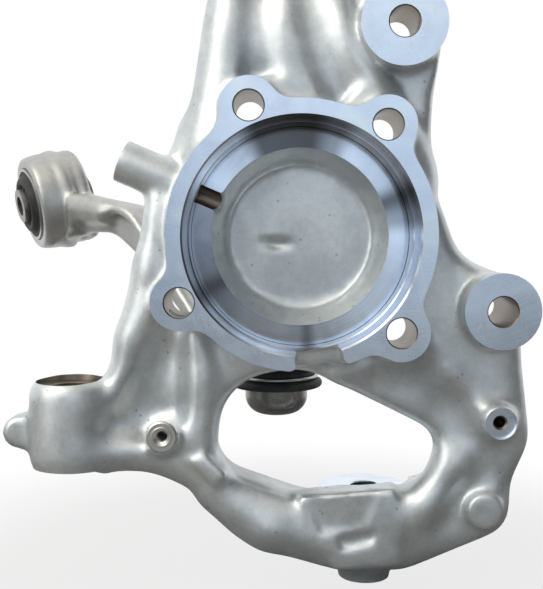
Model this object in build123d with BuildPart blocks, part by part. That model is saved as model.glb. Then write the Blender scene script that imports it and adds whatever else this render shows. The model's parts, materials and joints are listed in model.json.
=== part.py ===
from build123d import *

import os
from math import cos, hypot, radians, sin

# Steering knuckle with its rear link, in millimetres.
# The origin is the centre of the wheel bearing's pilot bore, on the machined flange face.
# That face looks along -Y, +X is to the right of somebody looking at it, and +Z is up.
# A depth is a distance behind the flange face, along +Y.

# Wheel bearing seat
pilot_r = 51.5
pilot_depth = 9.0
pilot_chamfer = 0.8
relief_r = 49.5
seat_depth = 21.0
core_r = 41.0
core_floor_r = 30.0
core_depth = 29.0
hub_wall = 9.0
drum_r = 56.0

# Flange with its four bolt lobes
flange_r = 59.0
flange_thickness = 12.0
lobe_r = 12.8
lobe_blend_r = 13.0
bolt_circle_r = 60.25
bolt_hole_r = 6.5
bolt_barrel_r = 12.0
bolt_barrel_depth = 32.0
bolt_spotface_r = 11.0
flange_lean = 7.75
upper_half_angle = 30.0
lower_half_angle = 53.8
notch_width = 21.0
notch_depth = 10.0
notch_angle = 278.2

# Speed sensor boss, radial to the hub
sensor_angle = 157.0
sensor_depth = 19.5
sensor_boss_r = 9.7
sensor_reach = 87.0
sensor_bore_r = 4.5
sensor_start_r = 38.5

# Caliper ears
caliper_face_depth = 4.0
caliper_hole_r = 6.6
caliper_ear_thickness = 28.0
upper_ear = (44.2, 92.0)
upper_ear_r = 19.0
lower_ear = (88.3, -32.9)
lower_ear_r = 17.0
ear_web_depth = 17.0
ear_web_thickness = 15.0

# Neck, as cross-sections from the hub up: height, left, right, front depth, back depth
neck_sections = [
    (12.0, -53.0, 60.0, 9.0, 42.0),
    (50.0, -52.0, 54.0, 8.0, 43.0),
    (80.0, -46.5, 36.0, 8.0, 44.0),
    (108.0, -42.0, 23.0, 10.0, 47.0),
    (136.0, -34.0, 13.0, 20.0, 56.0),
    (160.0, -28.0, 5.0, 36.0, 70.0),
]
neck_corner_share = 0.42
valley_r = 13.0
left_valley = [
    (-17.0, 2.0, 66.0),
    (-19.0, -1.0, 86.0),
    (-18.0, 2.5, 108.0),
    (-14.0, 11.0, 134.0),
    (-11.0, 24.0, 162.0),
]
right_valley = [
    (22.0, 1.0, 60.0),
    (11.0, -1.0, 76.0),
    (5.0, 1.0, 100.0),
    (1.0, 10.0, 130.0),
    (-1.0, 24.0, 160.0),
]

# Upper joint eye, a split clamp at the top of the neck
upper_eye = (-12.0, 56.0)
upper_eye_r = 16.5
upper_eye_bore_r = 8.0
upper_eye_bottom = 152.0
upper_eye_top = 180.0
clamp_slot = 3.0
clamp_bolt_r = 4.2
clamp_bolt = (77.0, 166.0)
clamp_ear_reach = 30.0
clamp_ear_half_width = 12.0

# Window frame below the hub: corners as x, z and the radius of the corner
frame_front = 15.0
frame_back = 46.0
frame_front_round = 9.0
frame_back_round = 6.0
frame_corners = [
    (-70.0, 0.0, 14.0),
    (-66.0, -34.0, 30.0),
    (-57.0, -103.0, 26.0),
    (-31.0, -140.0, 26.0),
    (14.0, -155.0, 30.0),
    (48.0, -156.0, 20.0),
    (98.0, -135.0, 14.0),
    (98.0, -114.0, 14.0),
    (107.0, -94.0, 18.0),
    (101.0, -44.0, 20.0),
    (99.0, -20.0, 12.0),
    (73.0, -9.0, 22.0),
    (60.5, 24.0, 30.0),
    (59.0, 60.0, 12.0),
    (-53.0, 60.0, 12.0),
]
window_corners = [
    (-39.5, -66.0, 30.0),
    (2.0, -60.0, 30.0),
    (66.0, -91.5, 17.0),
    (64.0, -113.5, 10.0),
    (10.0, -124.0, 60.0),
    (-38.0, -107.0, 17.0),
]
window_parting = 24.0
window_front_draft = 7.0
window_back_draft = 3.0

# Hollows cast in the back: a dished ring behind the hub with ribs to the bolts, and two pockets
hollow_in_r = 12.0
hollow_out_r = 44.5
rib_width = 6.0
neck_pocket_depth = 34.0
neck_pocket_corners = [(-35.0, 72.0, 7.0), (23.0, 72.0, 7.0), (7.0, 110.0, 7.0), (-26.0, 116.0, 7.0)]
column_pocket_depth = 34.0
column_pocket_corners = [
    (77.0, -56.0, 6.0),
    (92.0, -56.0, 6.0),
    (95.0, -90.0, 8.0),
    (86.0, -104.0, 6.0),
    (77.0, -98.0, 6.0),
]
pocket_draft = 8.0

# Lower ball joint boss, with a vertical axis
lower_boss = (32.5, 46.0)
lower_land_z = -121.5
lower_land_r = 21.0
lower_boss_mid_z = -148.0
lower_boss_mid_r = 17.0
collar_r = 12.5
collar_height = 6.0
lower_boss_bottom = -166.0
lower_taper_top_r = 7.0
lower_taper_bottom_r = 9.2
keel_depth = 20.0
keel_corners = [(9.0, -124.0, 6.0), (57.0, -121.0, 6.0), (48.0, -154.0, 8.0), (20.0, -156.0, 8.0)]

# Steering arm, with the tie rod's tapered bore
steer_boss = (-105.5, 22.5)
steer_boss_r = 17.0
steer_boss_top = -68.0
steer_boss_bottom = -105.0
steer_chamfer = 4.0
steer_taper_top_r = 8.2
steer_taper_bottom_r = 6.4
arm_front = 11.0
arm_back = 35.0
arm_round = 7.0
arm_corners = [
    (-62.0, -8.0, 10.0),
    (-76.0, -36.0, 60.0),
    (-88.0, -70.0, 14.0),
    (-104.0, -80.0, 10.0),
    (-105.0, -104.5, 10.0),
    (-66.0, -105.5, 30.0),
    (-40.0, -122.0, 10.0),
    (-36.0, -60.0, 10.0),
]
arm_pocket_depth = 10.0
arm_pocket_corners = [
    (-93.0, -92.0, 5.0),
    (-63.0, -42.0, 10.0),
    (-47.0, -52.0, 8.0),
    (-46.0, -92.0, 10.0),
]
arm_pocket_taper = 20.0
stop_ear = (-128.5, -89.0)
stop_ear_r = 7.5
stop_ear_depth = 16.0
stop_ear_thickness = 13.0

# Small bosses, as x and z, with the depth of each face
insert_boss = (-62.0, -89.0)
insert_boss_r = 9.0
insert_face_depth = 9.0
insert_flange_r = 7.15
insert_flange_height = 2.2
insert_shank_r = 4.6
insert_shank_length = 14.0
insert_thread_r = 2.5
bracket_boss = (89.2, -83.0)
bracket_boss_r = 7.8
bracket_face_depth = 10.0
bracket_thread_r = 2.5
bracket_thread_depth = 16.0
tool_pad = (86.3, -121.5)
tool_pad_r = 8.6
tool_pad_depth = 12.5
code_pad = (-43.0, -105.0)
code_pad_size = (16.0, 20.0)
code_pad_angle = 45.0
code_pad_depth = 11.5

# Ball joint of the rear link, along an upright axis through the centre of its ball
ball_x = -10.5
ball_y = 75.0
ball_z = -73.0
ball_r = 11.5
ball_gap = 0.05
seat_r = 13.9
seat_top = 7.2
seat_bottom = 13.2
seat_corner = 6.5
housing_r = 16.2
housing_floor = 5.1
housing_round = 9.5
housing_lip = 3.5
housing_mouth_r = 10.0
stud_neck_r = 6.2
stud_land_r = 7.4
stud_land_height = 5.5
stud_collar_r = 9.0
stud_collar_height = 2.5
stud_collar_rise = 23.5
stud_taper_big_r = 7.6
stud_taper_small_r = 6.4
stud_thread_r = 6.0
stud_thread_length = 15.0
stud_point_chamfer = 1.0
nut_height = 11.0
nut_across_flats = 18.0
nut_flange_r = 11.5
nut_flange_height = 2.0

# Boot over the ball joint, with its two clamp rings
boot_gap = 0.05
boot_wall = 2.2
boot_foot_r = 20.2
boot_foot_height = 4.2
boot_bulge_r = 24.0
boot_shoulder_r = 19.5
boot_lip_r = 10.0
boot_lip_height = 4.0
ring_wire_r = 1.1

# Rear lug that holds the stud
lug_r = 15.5
lug_height = 20.0
lug_root_half_width = 30.0
lug_root_depth = 34.0

# Link, drawn in the upright plane through the stud: distance from the stud, height, corner radius
link_angle = 141.4
link_ring_r = 18.8
link_ring_bottom = -83.0
link_ring_top = -73.5
link_thickness = 24.0
link_web = 7.0
link_edge_round = 3.0
link_corners = [
    (8.0, -83.0, 0.0),
    (28.0, -80.0, 12.0),
    (99.0, -12.0, 24.0),
    (124.0, 4.0, 30.0),
    (148.0, 4.5, 20.0),
    (172.0, -5.0, 0.0),
    (184.0, -5.0, 0.0),
    (184.0, 34.0, 0.0),
    (142.0, 26.0, 30.0),
    (101.0, 19.0, 30.0),
    (30.5, -60.5, 6.0),
    (26.5, -73.5, 4.0),
    (8.0, -73.5, 0.0),
]
link_pocket_corners = [
    (38.5, -60.0, 3.0),
    (103.5, 12.5, 26.0),
    (142.0, 19.5, 20.0),
    (154.0, 21.0, 6.0),
    (151.0, -16.0, 0.0),
    (118.0, -12.0, 0.0),
    (92.0, -36.0, 0.0),
    (44.0, -82.0, 0.0),
    (38.5, -82.0, 0.0),
]

# Bush in the link's eye; its axis is turned from -X towards the hub side, and tilted down
eye_centre = (-154.5, 190.0, 26.0)
eye_turn = 29.0
eye_tilt = 12.0
eye_r = 31.5
eye_length = 32.0
eye_lip_r = 28.8
eye_lip_length = 5.0
bush_sleeve_r = 23.0
bush_sleeve_wall = 1.8
bush_sleeve_length = 34.0
bush_rubber_swell = 3.5
bush_core_r = 10.5
bush_bore_r = 6.1
bush_core_length = 46.0


def front(depth):
    """Sketch plane behind the flange face, seen from the hub side: x to the right, z up."""
    return Plane.XZ.offset(-depth)


def level(height):
    """Horizontal sketch plane at a height."""
    return Plane.XY.offset(height)


def on_circle(radius, angle):
    """Point of the flange plane at a radius and an angle from +X."""
    return radius * cos(radians(angle)), radius * sin(radians(angle))


def outline(corners):
    """Closed outline with straight sides, and a radius of its own at each corner."""
    return FilletPolyline(
        *[(x, z) for x, z, _ in corners], radius=[r for _, _, r in corners], close=True
    )


flange_top_angle = 90.0 - flange_lean
flange_bottom_angle = 270.0 - flange_lean
bolt_angles = [
    flange_top_angle + upper_half_angle,
    flange_top_angle - upper_half_angle,
    flange_bottom_angle - lower_half_angle,
    flange_bottom_angle + lower_half_angle,
]
bolt_places = [on_circle(bolt_circle_r, angle) for angle in bolt_angles]
hub_back = core_depth + hub_wall
sensor_direction = (cos(radians(sensor_angle)), 0, sin(radians(sensor_angle)))
ears = [(upper_ear, upper_ear_r), (lower_ear, lower_ear_r)]
stud_collar_top = ball_z + stud_collar_rise + stud_collar_height
lug_bottom = stud_collar_top
lug_top = lug_bottom + lug_height
joint_axis = Axis((ball_x, ball_y, 0), (0, 0, 1))
joint_section = Plane(origin=(ball_x, ball_y, 0), x_dir=(1, 0, 0), z_dir=(0, -1, 0))
link_plane = Plane(
    origin=(ball_x, ball_y, 0),
    x_dir=(cos(radians(link_angle)), sin(radians(link_angle)), 0),
    z_dir=(sin(radians(link_angle)), -cos(radians(link_angle)), 0),
)
link_across = Axis(link_plane.origin, link_plane.z_dir)
eye_direction = Vector(
    -cos(radians(eye_turn)) * cos(radians(eye_tilt)),
    -sin(radians(eye_turn)) * cos(radians(eye_tilt)),
    -sin(radians(eye_tilt)),
)
eye_axis = Axis(eye_centre, eye_direction)
eye_section = Plane(
    origin=eye_centre, x_dir=eye_direction, z_dir=eye_direction.cross(Vector(0, 0, 1))
)

# Closed drum behind the flange, dished at the back like its floor
with BuildPart() as drum:
    with BuildSketch(Plane.XY):
        with BuildLine():
            FilletPolyline(
                (0, 1),
                (drum_r, 1),
                (drum_r, seat_depth + 3),
                (core_r + 4, hub_back - 1),
                (core_floor_r, hub_back + 2),
                (0, hub_back + 2),
                radius=[0, 10, 10, 20],
            )
            Line((0, hub_back + 2), (0, 1))
        make_face()
    revolve(axis=Axis.Y)

# Flange plate with a lobe round each bolt, and the barrels behind the lobes
with BuildPart() as flange:
    with BuildSketch(front(0)) as flange_outline:
        Circle(flange_r)
        with Locations(*bolt_places):
            Circle(lobe_r)
        waists = [v for v in flange_outline.vertices() if abs(hypot(v.X, v.Y) - flange_r) < 2.0]
        fillet(waists, lobe_blend_r)
    extrude(amount=-flange_thickness)
    with BuildSketch(front(flange_thickness)):
        with Locations(*bolt_places):
            Circle(bolt_barrel_r)
    extrude(amount=-(bolt_barrel_depth - flange_thickness), taper=3)

# Neck, lofted from the hub to the upper joint, with two long valleys down its front
with BuildPart() as neck:
    for height, left, right, near, far in neck_sections:
        with BuildSketch(level(height)):
            with Locations(((left + right) / 2, (near + far) / 2)):
                RectangleRounded(right - left, far - near, neck_corner_share * (far - near))
    loft()
with BuildPart() as valleys:
    for route in (left_valley, right_valley):
        with BuildLine() as valley_path:
            Spline(*route)
        with BuildSketch(Plane(origin=valley_path.line @ 0, z_dir=valley_path.line % 0)):
            Circle(valley_r)
        sweep(path=valley_path.line)

# Split clamp eye for the upper joint
with BuildPart() as upper_clamp:
    with BuildSketch(level(upper_eye_bottom)):
        with Locations(upper_eye):
            Circle(upper_eye_r)
        with Locations((upper_eye[0], upper_eye[1] + clamp_ear_reach / 2)):
            Rectangle(2 * clamp_ear_half_width, clamp_ear_reach)
    extrude(amount=upper_eye_top - upper_eye_bottom)
    fillet(upper_clamp.edges().filter_by(Axis.Z).sort_by(Axis.Y)[-2:], 6)
    fillet(upper_clamp.faces().sort_by(Axis.Z)[-1].edges(), 1.5)

# Window frame: a rounded plate that carries the hub, the right column and the lower bar
with BuildPart() as frame:
    with BuildSketch(front(frame_front)):
        with BuildLine():
            outline(frame_corners)
        make_face()
    extrude(amount=-(frame_back - frame_front))
    fillet(frame.faces().sort_by(Axis.Y)[0].edges(), frame_front_round)
    fillet(frame.faces().sort_by(Axis.Y)[-1].edges(), frame_back_round)
with BuildPart() as window:
    with BuildSketch(front(window_parting)) as window_outline:
        with BuildLine():
            outline(window_corners)
        make_face()
    extrude(amount=window_parting + 1, taper=-window_front_draft)
    extrude(window_outline.sketch, amount=-60, taper=-window_back_draft)

# Hollows in the back
with BuildPart() as hub_hollow:
    with BuildSketch(Plane.XY):
        with BuildLine():
            FilletPolyline(
                (hollow_in_r, 60),
                (hollow_in_r, hub_back + 1),
                (core_floor_r - 3, hub_back),
                (core_r - 1, seat_depth + 11),
                (hollow_out_r, seat_depth + 11),
                (hollow_out_r + 2, 60),
                radius=[3, 6, 2, 3],
            )
            Line((hollow_out_r + 2, 60), (hollow_in_r, 60))
        make_face()
    revolve(axis=Axis.Y)
    with BuildSketch(front(seat_depth)):
        for angle in bolt_angles:
            with Locations(Location((*on_circle(hollow_out_r / 2, angle), 0), (0, 0, angle))):
                Rectangle(hollow_out_r + 6, rib_width)
    extrude(amount=-50, mode=Mode.SUBTRACT)
with BuildPart() as back_pockets:
    for corners, floor in (
        (neck_pocket_corners, neck_pocket_depth),
        (column_pocket_corners, column_pocket_depth),
    ):
        with BuildSketch(front(floor)):
            with BuildLine():
                outline(corners)
            make_face()
        extrude(amount=-40, taper=-pocket_draft)

# Steering arm: a triangular plate with a pocket between its two ridges
with BuildPart() as arm:
    with BuildSketch(front(arm_front)):
        with BuildLine():
            outline(arm_corners)
        make_face()
    extrude(amount=-(arm_back - arm_front))
    fillet(arm.faces().sort_by(Axis.Y)[0].edges(), arm_round)
    fillet(arm.faces().sort_by(Axis.Y)[-1].edges(), arm_round)
with BuildPart() as steer_end:
    with BuildSketch(level(steer_boss_bottom)):
        with Locations(steer_boss):
            Circle(steer_boss_r)
    extrude(amount=steer_boss_top - steer_boss_bottom)
    chamfer(steer_end.faces().sort_by(Axis.Z)[0].edges(), steer_chamfer)
    with BuildSketch(front(stop_ear_depth)):
        with Locations(stop_ear):
            Circle(stop_ear_r)
        with Locations((stop_ear[0] + stop_ear_r, stop_ear[1])):
            Rectangle(2 * stop_ear_r, 2 * stop_ear_r)
    extrude(amount=-stop_ear_thickness)
with BuildPart() as arm_pocket:
    with BuildSketch(front(arm_front - 1)):
        with BuildLine():
            outline(arm_pocket_corners)
        make_face()
    extrude(amount=-(arm_pocket_depth + 1), taper=arm_pocket_taper)

# Lower ball joint boss, with its land, tapered body and collar, and the keel in front of it
with BuildPart() as lower:
    with BuildSketch(Plane.XZ):
        with BuildLine():
            Polyline(
                (0, lower_land_z),
                (lower_land_r, lower_land_z),
                (lower_land_r, lower_land_z - 6),
                (lower_boss_mid_r, lower_boss_mid_z),
                (collar_r + 1.5, lower_boss_bottom + collar_height + 2),
                (collar_r, lower_boss_bottom + collar_height),
                (collar_r, lower_boss_bottom),
                (0, lower_boss_bottom),
                close=True,
            )
        make_face()
    revolve(axis=Axis.Z)
with BuildPart() as keel:
    with BuildSketch(front(keel_depth)):
        with BuildLine():
            outline(keel_corners)
        make_face()
    extrude(amount=-(lower_boss[1] - keel_depth), taper=-4)

# Rear lug that takes the stud of the link's ball joint
with BuildPart() as rear_lug:
    with BuildSketch(level(lug_bottom)):
        with Locations((ball_x, ball_y)):
            Circle(lug_r)
        with Locations((ball_x - lug_root_half_width + 12, lug_root_depth)):
            Circle(12)
        with Locations((ball_x + lug_root_half_width - 12, lug_root_depth)):
            Circle(12)
        make_hull()
    extrude(amount=lug_height)
    fillet(rear_lug.faces().sort_by(Axis.Z)[0].edges(), 2)

with BuildPart() as knuckle_casting:
    add(drum.part)
    add(frame.part)
    add(neck.part)
    add(valleys.part, mode=Mode.SUBTRACT)
    add(upper_clamp.part)
    add(arm.part)
    add(arm_pocket.part, mode=Mode.SUBTRACT)
    add(steer_end.part)
    add(window.part, mode=Mode.SUBTRACT)
    add(hub_hollow.part, mode=Mode.SUBTRACT)
    add(back_pockets.part, mode=Mode.SUBTRACT)
    add(Pos(lower_boss[0], lower_boss[1], 0) * lower.part)
    add(keel.part)
    add(flange.part)
    add(rear_lug.part)

    # Caliper ears on their web
    with BuildSketch(front(caliper_face_depth)):
        with Locations(*[place for place, _ in ears]):
            Circle(lower_ear_r)
        with Locations(upper_ear):
            Circle(upper_ear_r)
    extrude(amount=-caliper_ear_thickness)
    with BuildSketch(front(ear_web_depth)):
        with Locations(upper_ear):
            Circle(upper_ear_r)
        with Locations((10, 96)):
            Circle(14)
        with Locations((48, 48)):
            Circle(11)
        with Locations((10, 48)):
            Circle(11)
        make_hull()
    extrude(amount=-ear_web_thickness)

    # Speed sensor boss
    sensor_plane = Plane(origin=(0, sensor_depth, 0), x_dir=(0, 1, 0), z_dir=sensor_direction)
    with BuildSketch(sensor_plane.offset(drum_r - 6)):
        Circle(sensor_boss_r)
    extrude(amount=sensor_reach - drum_r + 6)

    # Small bosses
    with BuildSketch(front(insert_face_depth)):
        with Locations(insert_boss):
            Circle(insert_boss_r)
    extrude(amount=-18)
    with BuildSketch(front(bracket_face_depth)):
        with Locations(bracket_boss):
            Circle(bracket_boss_r)
    extrude(amount=-20)
    with BuildSketch(front(tool_pad_depth)):
        with Locations(tool_pad):
            Circle(tool_pad_r)
    extrude(amount=-20)
    with BuildSketch(front(code_pad_depth)):
        with Locations(Location((*code_pad, 0), (0, 0, code_pad_angle))):
            Rectangle(*code_pad_size)
    extrude(amount=-12)

    # Bearing seat: pilot, relief, flat seat and dished floor
    with BuildSketch(Plane.XY):
        with BuildLine():
            Polyline(
                (0, -1),
                (pilot_r + pilot_chamfer + 1, -1),
                (pilot_r, pilot_chamfer),
                (pilot_r, pilot_depth),
                (relief_r, pilot_depth),
                (relief_r, seat_depth),
                (core_r, seat_depth),
                (core_floor_r, core_depth),
                (0, core_depth),
                close=True,
            )
        make_face()
    revolve(axis=Axis.Y, mode=Mode.SUBTRACT)

    # Notch through the bottom of the flange
    with BuildSketch(front(-1)):
        with Locations(Location((*on_circle(relief_r + 10, notch_angle), 0), (0, 0, notch_angle))):
            RectangleRounded(20, notch_width, 4)
    extrude(amount=-(notch_depth + 1), mode=Mode.SUBTRACT)

    # Through holes of the bearing bolts, spot faced at the back
    with BuildSketch(front(-1)):
        with Locations(*bolt_places):
            Circle(bolt_hole_r)
    extrude(amount=-80, mode=Mode.SUBTRACT)
    with BuildSketch(front(bolt_barrel_depth)):
        with Locations(*bolt_places):
            Circle(bolt_spotface_r)
    extrude(amount=-50, mode=Mode.SUBTRACT)

    # Caliper bolt holes
    with BuildSketch(front(-1)):
        with Locations(upper_ear, lower_ear):
            Circle(caliper_hole_r)
    extrude(amount=-80, mode=Mode.SUBTRACT)

    # Sensor bore, from the boss into the bearing seat
    with BuildSketch(sensor_plane.offset(sensor_start_r)):
        Circle(sensor_bore_r)
    extrude(amount=sensor_reach - sensor_start_r + 1, mode=Mode.SUBTRACT)

    # Threaded holes
    with BuildSketch(front(insert_face_depth - 1)):
        with Locations(insert_boss):
            Circle(insert_shank_r)
    extrude(amount=-(insert_shank_length + 1), mode=Mode.SUBTRACT)
    with BuildSketch(front(bracket_face_depth - 1)):
        with Locations(bracket_boss):
            Circle(bracket_thread_r)
    extrude(amount=-(bracket_thread_depth + 1), mode=Mode.SUBTRACT)

    # Tapered bores of the tie rod, the lower joint and the link's stud
    with Locations((steer_boss[0], steer_boss[1], (steer_boss_top + steer_boss_bottom) / 2)):
        Cone(
            steer_taper_bottom_r,
            steer_taper_top_r,
            steer_boss_top - steer_boss_bottom,
            mode=Mode.SUBTRACT,
        )
    with Locations((*lower_boss, (lower_land_z + lower_boss_bottom) / 2)):
        Cone(
            lower_taper_bottom_r,
            lower_taper_top_r,
            lower_land_z - lower_boss_bottom,
            mode=Mode.SUBTRACT,
        )
    with Locations((ball_x, ball_y, (lug_top + lug_bottom) / 2)):
        Cone(stud_taper_big_r, stud_taper_small_r, lug_height, mode=Mode.SUBTRACT)

    # Clamp bore, its slot and its bolt hole
    with BuildSketch(level(upper_eye_bottom - 20)):
        with Locations(upper_eye):
            Circle(upper_eye_bore_r)
    extrude(amount=upper_eye_top - upper_eye_bottom + 21, mode=Mode.SUBTRACT)
    with BuildSketch(level(upper_eye_bottom - 20)):
        with Locations((upper_eye[0], upper_eye[1] + clamp_ear_reach / 2 + 1)):
            Rectangle(clamp_slot, clamp_ear_reach + 2)
    extrude(amount=upper_eye_top - upper_eye_bottom + 21, mode=Mode.SUBTRACT)
    with BuildSketch(Plane.YZ.offset(upper_eye[0] - clamp_ear_half_width - 5)):
        with Locations(clamp_bolt):
            Circle(clamp_bolt_r)
    extrude(amount=2 * clamp_ear_half_width + 10, mode=Mode.SUBTRACT)
knuckle_casting.part.label = "knuckle_casting"

# Threaded steel bush in the boss left of the window
with BuildPart() as hose_bracket_insert:
    with BuildSketch(front(insert_face_depth)):
        Circle(insert_flange_r)
    extrude(amount=insert_flange_height)
    with BuildSketch(front(insert_face_depth)):
        Circle(insert_shank_r)
    extrude(amount=-insert_shank_length)
    with BuildSketch(front(insert_face_depth - insert_flange_height)):
        Circle(insert_thread_r)
    extrude(amount=-(insert_flange_height + insert_shank_length), mode=Mode.SUBTRACT)
    rims = hose_bracket_insert.faces().sort_by(Axis.Y)[0].edges()
    chamfer(rims, 0.6)
hose_bracket_insert.part = Pos(insert_boss[0], 0, insert_boss[1]) * hose_bracket_insert.part
hose_bracket_insert.part.label = "hose_bracket_insert"

# Ball stud: ball, neck, boot land, collar, taper and thread, turned in one piece
neck_meets_ball = (ball_r**2 - stud_neck_r**2) ** 0.5
land_bottom = ball_z + stud_collar_rise - stud_land_height
thread_end = lug_top + stud_thread_length
with BuildPart() as ball_stud:
    with BuildSketch(joint_section):
        with BuildLine():
            ball_arc = ThreePointArc(
                (0, ball_z - ball_r), (ball_r, ball_z), (stud_neck_r, ball_z + neck_meets_ball)
            )
            Polyline(
                ball_arc @ 1,
                (stud_neck_r, land_bottom - 2),
                (stud_land_r, land_bottom),
                (stud_land_r, ball_z + stud_collar_rise),
                (stud_collar_r, ball_z + stud_collar_rise),
                (stud_collar_r, stud_collar_top),
                (stud_taper_big_r, lug_bottom),
                (stud_taper_small_r, lug_top),
                (stud_thread_r, lug_top),
                (stud_thread_r, thread_end - stud_point_chamfer),
                (stud_thread_r - stud_point_chamfer, thread_end),
                (0, thread_end),
                (0, ball_z - ball_r),
            )
        make_face()
    revolve(axis=joint_axis)
ball_stud.part.label = "ball_stud"

# Flanged hex nut on the stud
with BuildPart() as stud_nut:
    with BuildSketch(level(lug_top)):
        Circle(nut_flange_r)
    extrude(amount=nut_flange_height)
    with BuildSketch(level(lug_top)):
        RegularPolygon(nut_across_flats / 2, 6, major_radius=False)
    extrude(amount=nut_height)
    with BuildSketch(level(lug_top)):
        Circle(stud_thread_r)
    extrude(amount=nut_height, mode=Mode.SUBTRACT)
stud_nut.part = Pos(ball_x, ball_y, 0) * stud_nut.part
stud_nut.part.label = "stud_nut"

# Plastic seat round the ball
seat_floor = ball_z - seat_bottom
seat_mouth_r = ((ball_r + ball_gap) ** 2 - seat_top**2) ** 0.5
with BuildPart() as ball_seat:
    with BuildSketch(joint_section):
        with BuildLine():
            FilletPolyline(
                (0, seat_floor),
                (seat_r, seat_floor),
                (seat_r, ball_z + seat_top),
                (seat_mouth_r, ball_z + seat_top),
                radius=[seat_corner, 0],
            )
            ThreePointArc(
                (seat_mouth_r, ball_z + seat_top),
                (ball_r + ball_gap, ball_z),
                (0, ball_z - ball_r - ball_gap),
            )
            Line((0, ball_z - ball_r - ball_gap), (0, seat_floor))
        make_face()
    revolve(axis=joint_axis)
ball_seat.part.label = "ball_seat"

# Steel cup with its rounded bottom and its rolled lip
housing_bottom = seat_floor - housing_floor
housing_top = ball_z + seat_top + housing_lip
with BuildPart() as ball_joint_housing:
    with BuildSketch(joint_section):
        with BuildLine():
            FilletPolyline(
                (0, housing_bottom),
                (housing_r, housing_bottom),
                (housing_r, housing_top),
                (housing_mouth_r + 1.5, housing_top),
                (housing_mouth_r, housing_top - 1.5),
                (housing_mouth_r, ball_z + seat_top),
                (seat_r, ball_z + seat_top),
                (seat_r, seat_floor),
                (0, seat_floor),
                radius=[housing_round, 1.5, 0, 0, 0, 0, seat_corner],
            )
            Line((0, seat_floor), (0, housing_bottom))
        make_face()
    revolve(axis=joint_axis)
ball_joint_housing.part.label = "ball_joint_housing"

# Rubber boot, its foot on the cup and its lip on the stud, grooved for the clamp rings
boot_foot_bottom = link_ring_top + boot_gap
boot_foot_top = boot_foot_bottom + boot_foot_height
boot_lip_top = ball_z + stud_collar_rise - boot_gap
boot_lip_bottom = boot_lip_top - boot_lip_height
foot_ring_z = boot_foot_bottom + boot_foot_height / 2
lip_ring_z = boot_lip_bottom + boot_lip_height / 2
boot_bulge_z = (boot_foot_top + boot_lip_bottom) / 2
with BuildPart() as ball_joint_boot:
    with BuildSketch(joint_section):
        with BuildLine():
            Polyline(
                (housing_r + boot_gap, boot_foot_top),
                (housing_r + boot_gap, boot_foot_bottom),
                (boot_foot_r, boot_foot_bottom),
                (boot_foot_r, boot_foot_top),
            )
            ThreePointArc(
                (boot_foot_r, boot_foot_top),
                (boot_bulge_r, boot_bulge_z - 1),
                (boot_shoulder_r, boot_lip_bottom),
            )
            Polyline(
                (boot_shoulder_r, boot_lip_bottom),
                (boot_lip_r, boot_lip_bottom + 1.2),
                (boot_lip_r, boot_lip_top),
                (stud_land_r + boot_gap, boot_lip_top),
                (stud_land_r + boot_gap, boot_lip_bottom),
                (boot_shoulder_r - 1.5, boot_lip_bottom - boot_wall),
            )
            ThreePointArc(
                (boot_shoulder_r - 1.5, boot_lip_bottom - boot_wall),
                (boot_bulge_r - boot_wall, boot_bulge_z - 0.5),
                (housing_r + boot_gap, boot_foot_top),
            )
        make_face()
        with Locations((boot_foot_r + ring_wire_r / 2, foot_ring_z)):
            Circle(ring_wire_r + boot_gap, mode=Mode.SUBTRACT)
        with Locations((boot_lip_r + ring_wire_r / 2, lip_ring_z)):
            Circle(ring_wire_r + boot_gap, mode=Mode.SUBTRACT)
    revolve(axis=joint_axis)
ball_joint_boot.part.label = "ball_joint_boot"

# Wire clamp rings of the boot
with BuildPart() as boot_housing_ring:
    with BuildSketch(joint_section):
        with Locations((boot_foot_r + ring_wire_r / 2, foot_ring_z)):
            Circle(ring_wire_r)
    revolve(axis=joint_axis)
boot_housing_ring.part.label = "boot_housing_ring"
with BuildPart() as boot_stud_ring:
    with BuildSketch(joint_section):
        with Locations((boot_lip_r + ring_wire_r / 2, lip_ring_z)):
            Circle(ring_wire_r)
    revolve(axis=joint_axis)
boot_stud_ring.part.label = "boot_stud_ring"

# Forged link: side profile with a ring at one end and an eye at the other, pocketed to an I-section
with BuildPart() as link_pocket:
    with BuildSketch(link_plane.offset(link_web / 2)):
        with BuildLine():
            outline(link_pocket_corners)
        make_face()
    extrude(amount=link_thickness, taper=-6)
with BuildPart() as link_arm:
    with BuildSketch(link_plane.offset(-link_thickness / 2)):
        with BuildLine():
            outline(link_corners)
        make_face()
    extrude(amount=link_thickness)
    fillet(link_arm.faces().sort_by(link_across)[0].edges(), link_edge_round)
    fillet(link_arm.faces().sort_by(link_across)[-1].edges(), link_edge_round)
    add(link_pocket.part, mode=Mode.SUBTRACT)
    add(mirror(link_pocket.part, about=link_plane), mode=Mode.SUBTRACT)
    with BuildSketch(level(link_ring_bottom)):
        with Locations((ball_x, ball_y)):
            Circle(link_ring_r)
    extrude(amount=link_ring_top - link_ring_bottom)
    with BuildSketch(eye_section):
        with BuildLine():
            Polyline(
                (-eye_length / 2, 0),
                (-eye_length / 2, eye_lip_r),
                (eye_lip_length - eye_length / 2, eye_lip_r),
                (eye_lip_length + 1.5 - eye_length / 2, eye_r),
                (eye_length / 2 - eye_lip_length - 1.5, eye_r),
                (eye_length / 2 - eye_lip_length, eye_lip_r),
                (eye_length / 2, eye_lip_r),
                (eye_length / 2, 0),
                close=True,
            )
        make_face()
    revolve(axis=eye_axis)
    with BuildSketch(level(link_ring_bottom - 1)):
        with Locations((ball_x, ball_y)):
            Circle(housing_r)
    extrude(amount=link_ring_top - link_ring_bottom + 20, mode=Mode.SUBTRACT)
    with BuildSketch(Plane(origin=eye_centre, z_dir=eye_direction).offset(-40)):
        Circle(bush_sleeve_r)
    extrude(amount=80, mode=Mode.SUBTRACT)
link_arm.part.label = "link_arm"

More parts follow.
